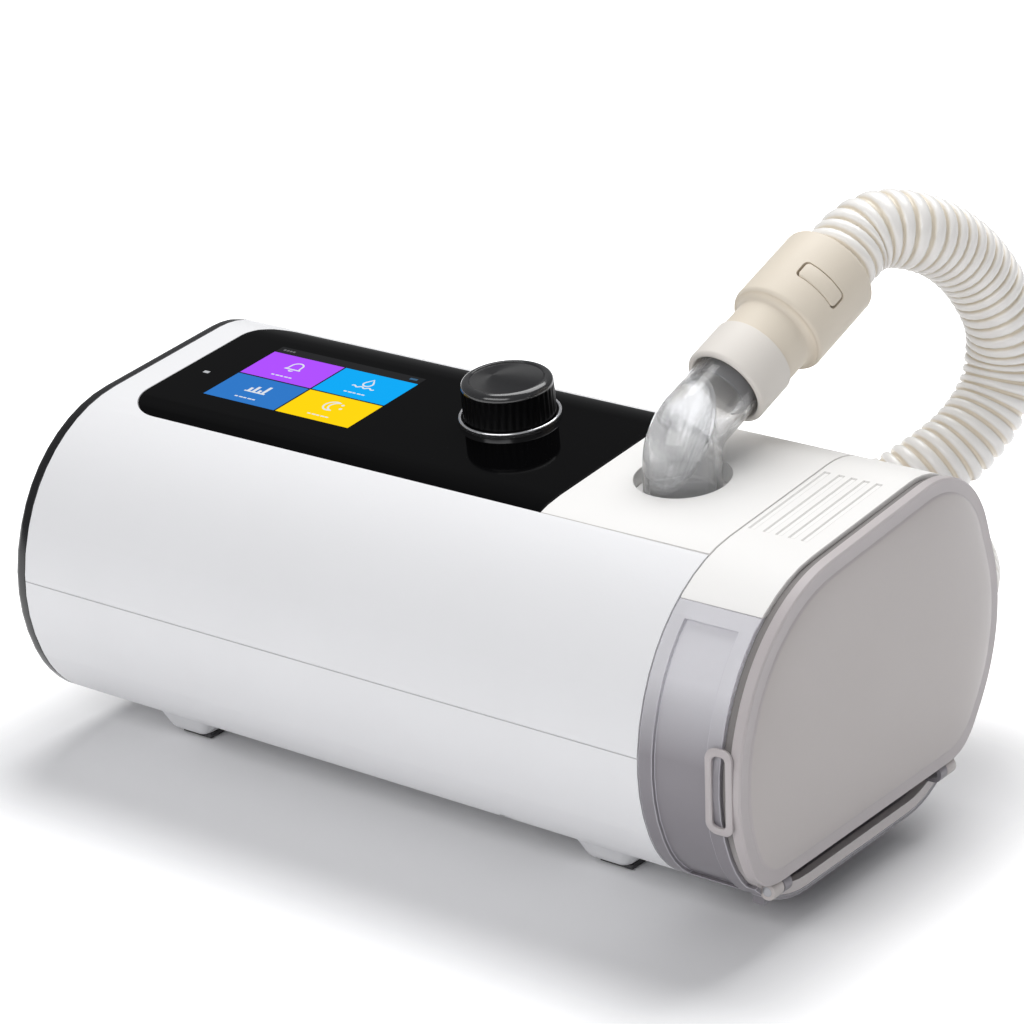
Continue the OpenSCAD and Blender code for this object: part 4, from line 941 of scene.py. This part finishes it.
# Height, half width, half depth and corner radius of a foot's rings, from the ground up
FOOT_RINGS = (
    (0.0009, 0.0064, 0.0050, 0.0025), (0.0013, 0.0075, 0.0062, 0.003), (0.0022, 0.0086, 0.0070, 0.0035),
    (0.0035, 0.0095, 0.0076, 0.004), (0.0118, 0.0150, 0.0105, 0.005))
FOOT_SHIFT = Vector((-0.0026, 0))
# Half a foot pad, and the heights up to which the CAD's feet reach and to which they are drawn in
PAD = Vector((0.006, 0.005))
FEET_TOP, DRAWN_IN = 0.0085, 0.0092


class BILEVEL_OT_case(Operator):
    """Dresses the case halves, the end cap, the plate, the port and the feet"""
    bl_idname = "bilevel.case"
    bl_label = "Case"

    def feet(self, bm):
        """Puts soft-cornered feet round the CAD's plain ones, whose own verts are drawn in under them"""
        low, high = (Vector(corner).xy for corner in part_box("foot_pads"))
        low, high = low + PAD, high - PAD
        places = [Vector((x, y)) for x in (low.x, high.x) for y in (low.y, high.y)]
        for vert in bm.verts:
            if vert.co.z < FEET_TOP:
                place = min(places, key=lambda p: (vert.co.xy - p).length)
                vert.co.xy = place.lerp(vert.co.xy, 0.5)
                vert.co.z = DRAWN_IN
        for place in places:
            lofted(bm, [[(*(place + FOOT_SHIFT + p), z) for p in rounded(x, y, radius)]
                for z, x, y, radius in FOOT_RINGS])

    def execute(self, context):
        s = context.scene.bilevel_case
        white, plate = case_white(), plate_white()
        dress_copy("upper_housing", "UpperHousing", "root", white, s.seam, depth=0)
        bm = node_mesh("lower_housing")
        soften(bm, s.seam, depth=0)
        self.feet(bm)
        make("LowerHousing", bm, [white], "root", ("lower_housing",), even=True)
        dress_copy("top_plate", "TopPlate", "root", plate, s.seam, depth=0.0001)
        dress_copy("port_socket", "PortSocket", "root", plate, s.fine_edge)
        dress_copy("left_end_cap", "LeftEndCap", "root",
            surface("CapBlack", (0.008, 0.008, 0.009), 0.12, grain=0.01, Specular_IOR_Level=0.5), s.fine_edge)
        dress_copy("filter_cover", "FilterCover", "filter_cover", white, s.fine_edge)
        dress_copy("power_inlet", "PowerInlet", "root",
            surface("JackBlack", (0.02, 0.02, 0.022), 0.4), s.fine_edge)
        dress_copy("foot_pads", "FootPads", "root",
            surface("FootRubber", (0.05, 0.05, 0.053), 0.7, grain=0.4, grain_scale=1500), s.fine_edge)
        return {"FINISHED"}


# Rings of the end cover from its rim over its face and back inside, as X and inset from the case's outline
COVER_OUTER = (
    (0.1350, 0.0004), (0.1354, 0.0), (0.1384, 0.0), (0.1389, 0.0005), (0.1389, 0.0043), (0.1392, 0.0047),
    (0.1394, 0.0052), (0.1398, 0.0068), (0.1402, 0.0092), (0.1406, 0.0140), (0.1409, 0.0220))
COVER_INNER = (
    (0.1386, 0.0220), (0.1386, 0.0090), (0.1384, 0.0074), (0.1378, 0.0070), (0.1350, 0.0070))
COVER_FOOT = 0.022
# Middle of the tank's side clip as X and height, and its rings as inset, corner radius and distance from the skin
CLIP = Vector((0.132, 0.057))
CLIP_RINGS = (
    (0.0, 0.0032, 0.0004), (0.0, 0.0032, 0.0013), (0.0003, 0.0030, 0.0015), (0.0019, 0.0018, 0.0015),
    (0.0022, 0.0016, 0.0012), (0.0022, 0.0016, 0.0004))
# First and last X of the lid's grooves, their depth, and the share of it that stays
GROOVES = 0.1055, 0.1262, 0.00105, 0.4


class BILEVEL_OT_tank(Operator):
    """Makes the smoky end cover and dresses the tank"""
    bl_idname = "bilevel.tank"
    bl_label = "Tank"

    def plan(self, inset, count=180):
        """Cover outline above its level foot, as evenly spaced points that start at the foot's middle"""
        floor = COVER_FOOT + inset
        points = outline(inset, 16)
        first = next(i for i, p in enumerate(points) if p.y < floor <= points[(i + 1) % len(points)].y)
        ring = []
        for k in range(1, len(points)):
            p = points[(first + k) % len(points)]
            if p.y < floor:
                break
            ring.append(p)

        def cross(a, b):
            return a.lerp(b, (floor - a.y) / (b.y - a.y))
        front = cross(points[first], ring[0])
        rear = cross(ring[-1], points[(first + k) % len(points)])
        middle = (front + rear) / 2
        loop = [middle, front] + ring + [rear, middle]
        result = spread(loop, count)[:-1]
        near = [i for i, p in enumerate(result) if min((p - front).length, (p - rear).length) < 0.006]
        for _ in range(12):
            moved = {i: result[i] / 2 + (result[i - 1] + result[(i + 1) % count]) / 4 for i in near}
            for i, p in moved.items():
                result[i] = p
        return result

    def cover(self):
        rings = COVER_OUTER + COVER_INNER
        turn = len(COVER_OUTER)
        bm = bmesh.new()
        edge = bm.verts.layers.float.new("edge")
        rows = [[bm.verts.new((x, p.x, p.y)) for p in self.plan(inset)] for x, inset in rings]
        for i, (row, following) in enumerate(zip(rows, rows[1:] + rows[:1])):
            if i != turn - 1:
                joined(bm, row, following)
        bm.faces.new(rows[turn - 1])
        bm.faces.new(rows[turn])
        bmesh.ops.recalc_face_normals(bm, faces=bm.faces[:])
        for row, (_, inset) in zip(rows, rings):
            for vert in row:
                vert[edge] = 1.0 if inset < 0.005 else 0.0
        for side in (-1, 1):
            self.clip(bm, side)
        for y in (-0.054, 0.041):
            self.knuckle(bm, y)
        smoky = surface("CoverSmoky", (0.66, 0.615, 0.60), 0.36, grain=0.05, amount=0.04, Transmission_Weight=0.25,
            IOR=1.45, Specular_IOR_Level=0.5)
        tinted_by(smoky, "edge", (0.62, 0.575, 0.58))
        make("TankEndCover", bm, [smoky], "tank_end_cover", ("tank_end_cover",), 35)

    def clip(self, bm, side):
        """Adds the loop clip on the front (-1) or rear (1) of the tank"""
        edge = bm.verts.layers.float["edge"]
        rows = []
        for inset, radius, proud in CLIP_RINGS:
            row = []
            for p in rounded(0.0045 - inset, 0.013 - inset, radius):
                at = side_point(CLIP.y + p.y, side, proud)
                row.append(bm.verts.new((CLIP.x + p.x, at.x, at.y)))
                row[-1][edge] = 1.0
            rows.append(row)
        for row, following in zip(rows, rows[1:] + rows[:1]):
            joined(bm, row, following)

    def soft_grooves(self, bm):
        """Makes the grooves of the lid shallower, as they are soft and faint in the photograph"""
        first, last, depth, share = GROOVES
        for vert in bm.verts:
            at = on_top(0, 0).inverted() @ vert.co
            if first < vert.co.x < last and abs(at.y) < 0.05 and -depth < at.z < -0.00001:
                at.z *= share
                vert.co = on_top(0, 0) @ at

    def knuckle(self, bm, y):
        """Adds a hinge eye round the pin"""
        eye = bmesh.new()
        spun(eye, filleted([(0.00156, 0, 0), (0.0028, 0, 0.0003), (0.0028, 0.005, 0.0003),
            (0.00156, 0.005, 0)], 3), 32)
        eye.transform(Matrix.Translation((0.1365, y, 0.020)) @ Matrix.Rotation(-math.pi / 2, 4, "X"))
        mesh = mesh_object("Knuckle", eye).data
        bm.from_mesh(mesh)
        bpy.data.meshes.remove(mesh)

    def execute(self, context):
        s = context.scene.bilevel_case
        self.cover()
        base = surface("TankFrost", (0.35, 0.33, 0.36), 0.33, grain=0.05, amount=0.04, Transmission_Weight=0.35,
            IOR=1.45, Specular_IOR_Level=0.5)
        # Painted light: the frosted side lighter towards its top, where the light falls on it
        tinted_by(base, "height", (0.92, 0.91, 0.95), 0.062, 0.084)
        # Painted highlight along the tank's rounded edges (edge mark)
        tinted_by(base, "edge", (0.80, 0.78, 0.84))
        dress_copy("tank_base", "TankBase", "tank", base, s.edge, depth=0.0014)
        bm = node_mesh("tank_lid")
        soften(bm, s.edge, depth=0.0011)
        self.soft_grooves(bm)
        make("TankLid", bm, [plate_white()], "tank", ("tank_lid",), even=True)
        gasket = surface("GasketGrey", (0.62, 0.585, 0.58), 0.6, grain=0.2)
        # Painted light: the gasket lighter low down, where it lies in the cover's shade, and dark higher up
        tinted_by(gasket, "height", (0.22, 0.206, 0.202), 0.020, 0.045)
        dress_copy("tank_gasket", "TankGasket", "tank", gasket, s.fine_edge)
        return {"FINISHED"}


class BILEVEL_OT_inside(Operator):
    """Gives the inner pieces their materials"""
    bl_idname = "bilevel.inside"
    bl_label = "Inside"

    def execute(self, context):
        looks = {
            "board_green": surface("BoardGreen", (0.02, 0.16, 0.07), 0.35, grain=0.15, grain_scale=900,
                amount=0.3),
            "screw_steel": surface("ScrewSteel", (0.55, 0.55, 0.57), 0.3, Metallic=1.0),
            "inner_grey": surface("InnerGrey", (0.2, 0.21, 0.225), 0.5, grain=0.15),
            "motor_metal": surface("MotorMetal", (0.5, 0.5, 0.52), 0.35, grain=0.15, Metallic=1.0),
            "impeller_white": surface("ImpellerWhite", (0.7, 0.72, 0.75), 0.4),
            "filter_white": surface("FilterFelt", (0.75, 0.75, 0.7), 0.95, grain=0.9, grain_scale=700),
            "foam_dark": surface("FoamDark", (0.05, 0.05, 0.055), 0.95, grain=1.0, grain_scale=500),
            "card_blue": surface("CardBlue", (0.03, 0.07, 0.2), 0.35),
            "duct_grey": surface("DuctGrey", (0.28, 0.29, 0.31), 0.45),
            "heater_metal": surface("HeaterMetal", (0.6, 0.6, 0.62), 0.28, grain=0.1, Metallic=1.0),
            "seal_grey": surface("SealGrey", (0.35, 0.36, 0.39), 0.6, grain=0.2),
            "foot_rubber": surface("MountRubber", (0.05, 0.05, 0.053), 0.7, grain=0.4, grain_scale=1500),
            "display": surface("DisplayBack", (0.05, 0.05, 0.06), 0.3),
            "lamp_white": surface("LampGuide", (0.7, 0.72, 0.75), 0.2),
        }
        for part in frame["record"]["subparts"]:
            if part["material_slot"] in looks:
                paint(part["node"], looks[part["material_slot"]])
        # Painted light: the outlet channel is pale, unlike the grey of the other ducts, so the recess under the
        # elbow reads lit
        paint("outlet_channel", surface("ChannelPale", (0.75, 0.75, 0.76), 0.5))
        return {"FINISHED"}


class BILEVEL_OT_stage(Operator):
    """Sets the pale floor and the soft light"""
    bl_idname = "bilevel.stage"
    bl_label = "Stage"

    def light(self, context, name, place, aim, size, power):
        data = bpy.data.lights.new(name, "AREA")
        data.shape = "RECTANGLE"
        data.size, data.size_y = size
        data.energy = power
        obj = bpy.data.objects.new(name, data)
        obj.location = place
        obj.rotation_euler = (Vector(aim) - Vector(place)).to_track_quat("-Z", "Y").to_euler()
        context.scene.collection.objects.link(obj)

    def paper(self):
        """Pale paper lit white by its own glow away from the footprint; the glow fades out near the machine, which
        deepens its cast shadow there with painted shade
        """
        mat = bpy.data.materials.new("FloorPale")
        mat.use_nodes = True
        tree = mat.node_tree
        tree.nodes.remove(tree.nodes["Principled BSDF"])
        folded = node(tree, "VectorMath", node(tree, "TexCoord").outputs["Object"], operation="ABSOLUTE")
        beyond = node(tree, "VectorMath", folded.outputs[0], (0.115, 0.065, 1), operation="SUBTRACT")
        outside = node(tree, "VectorMath", beyond.outputs[0], (0, 0, 0), operation="MAXIMUM")
        away = node(tree, "VectorMath", outside.outputs[0], operation="LENGTH")
        # Painted shade: no glow within 15 mm of the footprint, and full glow past 110 mm
        rise = node(tree, "MapRange", interpolation_type="SMOOTHSTEP", Value=away.outputs["Value"], From_Min=0.015,
            From_Max=0.11, To_Min=0.0, To_Max=0.85)
        rays = node(tree, "LightPath").outputs
        seen = node(tree, "Math", rays["Is Camera Ray"], rays["Is Glossy Ray"], operation="ADD")
        seen = node(tree, "Math", seen.outputs[0], rays["Is Transmission Ray"], operation="ADD", use_clamp=True)
        gain = node(tree, "Math", seen.outputs[0], rise.outputs["Result"], operation="MULTIPLY")
        both = node(tree, "AddShader", node(tree, "BsdfDiffuse", Color=(0.86, 0.86, 0.87, 1)).outputs[0],
            node(tree, "Emission", Strength=gain.outputs[0]).outputs[0])
        feed(tree, tree.nodes["Material Output"].inputs["Surface"], both.outputs[0])
        return mat

    def execute(self, context):
        s = context.scene.bilevel_stage
        bm = bmesh.new()
        bmesh.ops.create_circle(bm, cap_ends=True, segments=128, radius=s.floor)
        bmesh.ops.translate(bm, verts=bm.verts[:], vec=(0, 0, -0.0003))
        mesh_object("Floor", bm, [self.paper()])
        world = bpy.data.worlds.new("Pale")
        world.use_nodes = True
        sky = world.node_tree.nodes["Background"].inputs
        sky["Color"].default_value = (0.97, 0.98, 1.0, 1)
        sky["Strength"].default_value = s.sky
        context.scene.world = world
        self.light(context, "Key", (-0.15, 0.75, 1.5), (0, 0, 0.05), (1.5, 1.1), s.key)
        self.light(context, "Fill", (0.1, -1.5, 1.15), (0, 0, 0.07), (1.8, 0.8), s.fill)
        context.scene.view_settings.view_transform = "Standard"
        return {"FINISHED"}


class BILEVEL_PT_panel(Panel):
    """Buttons that dress the machine piece by piece"""
    bl_idname = "BILEVEL_PT_panel"
    bl_label = "Bilevel Machine"
    bl_space_type = "VIEW_3D"
    bl_region_type = "UI"
    bl_category = "Bilevel"

    def draw(self, context):
        for step in STEPS:
            self.layout.operator("bilevel." + step)


STEPS = ("camera", "hose", "outlet", "knob", "panel", "case", "tank", "inside", "stage")
GROUPS = (BilevelCamera, BilevelCase, BilevelOutlet, BilevelKnob, BilevelHose, BilevelScreen, BilevelStage)
CLASSES = GROUPS + (
    BILEVEL_OT_camera, BILEVEL_OT_hose, BILEVEL_OT_outlet, BILEVEL_OT_knob, BILEVEL_OT_panel, BILEVEL_OT_case,
    BILEVEL_OT_tank, BILEVEL_OT_inside, BILEVEL_OT_stage, BILEVEL_PT_panel)
POINTERS = {cls.__name__.lower().replace("bilevel", "bilevel_"): cls for cls in GROUPS}


def register():
    for cls in CLASSES:
        bpy.utils.register_class(cls)
    for name, cls in POINTERS.items():
        setattr(bpy.types.Scene, name, PointerProperty(type=cls))


def unregister():
    for name in POINTERS:
        delattr(bpy.types.Scene, name)
    for cls in reversed(CLASSES):
        bpy.utils.unregister_class(cls)


def main():
    register()
    for step in STEPS:
        getattr(bpy.ops.bilevel, step)()
    [tuple(p) for p in hose_path(4)]


if __name__ == "__main__":
    main()
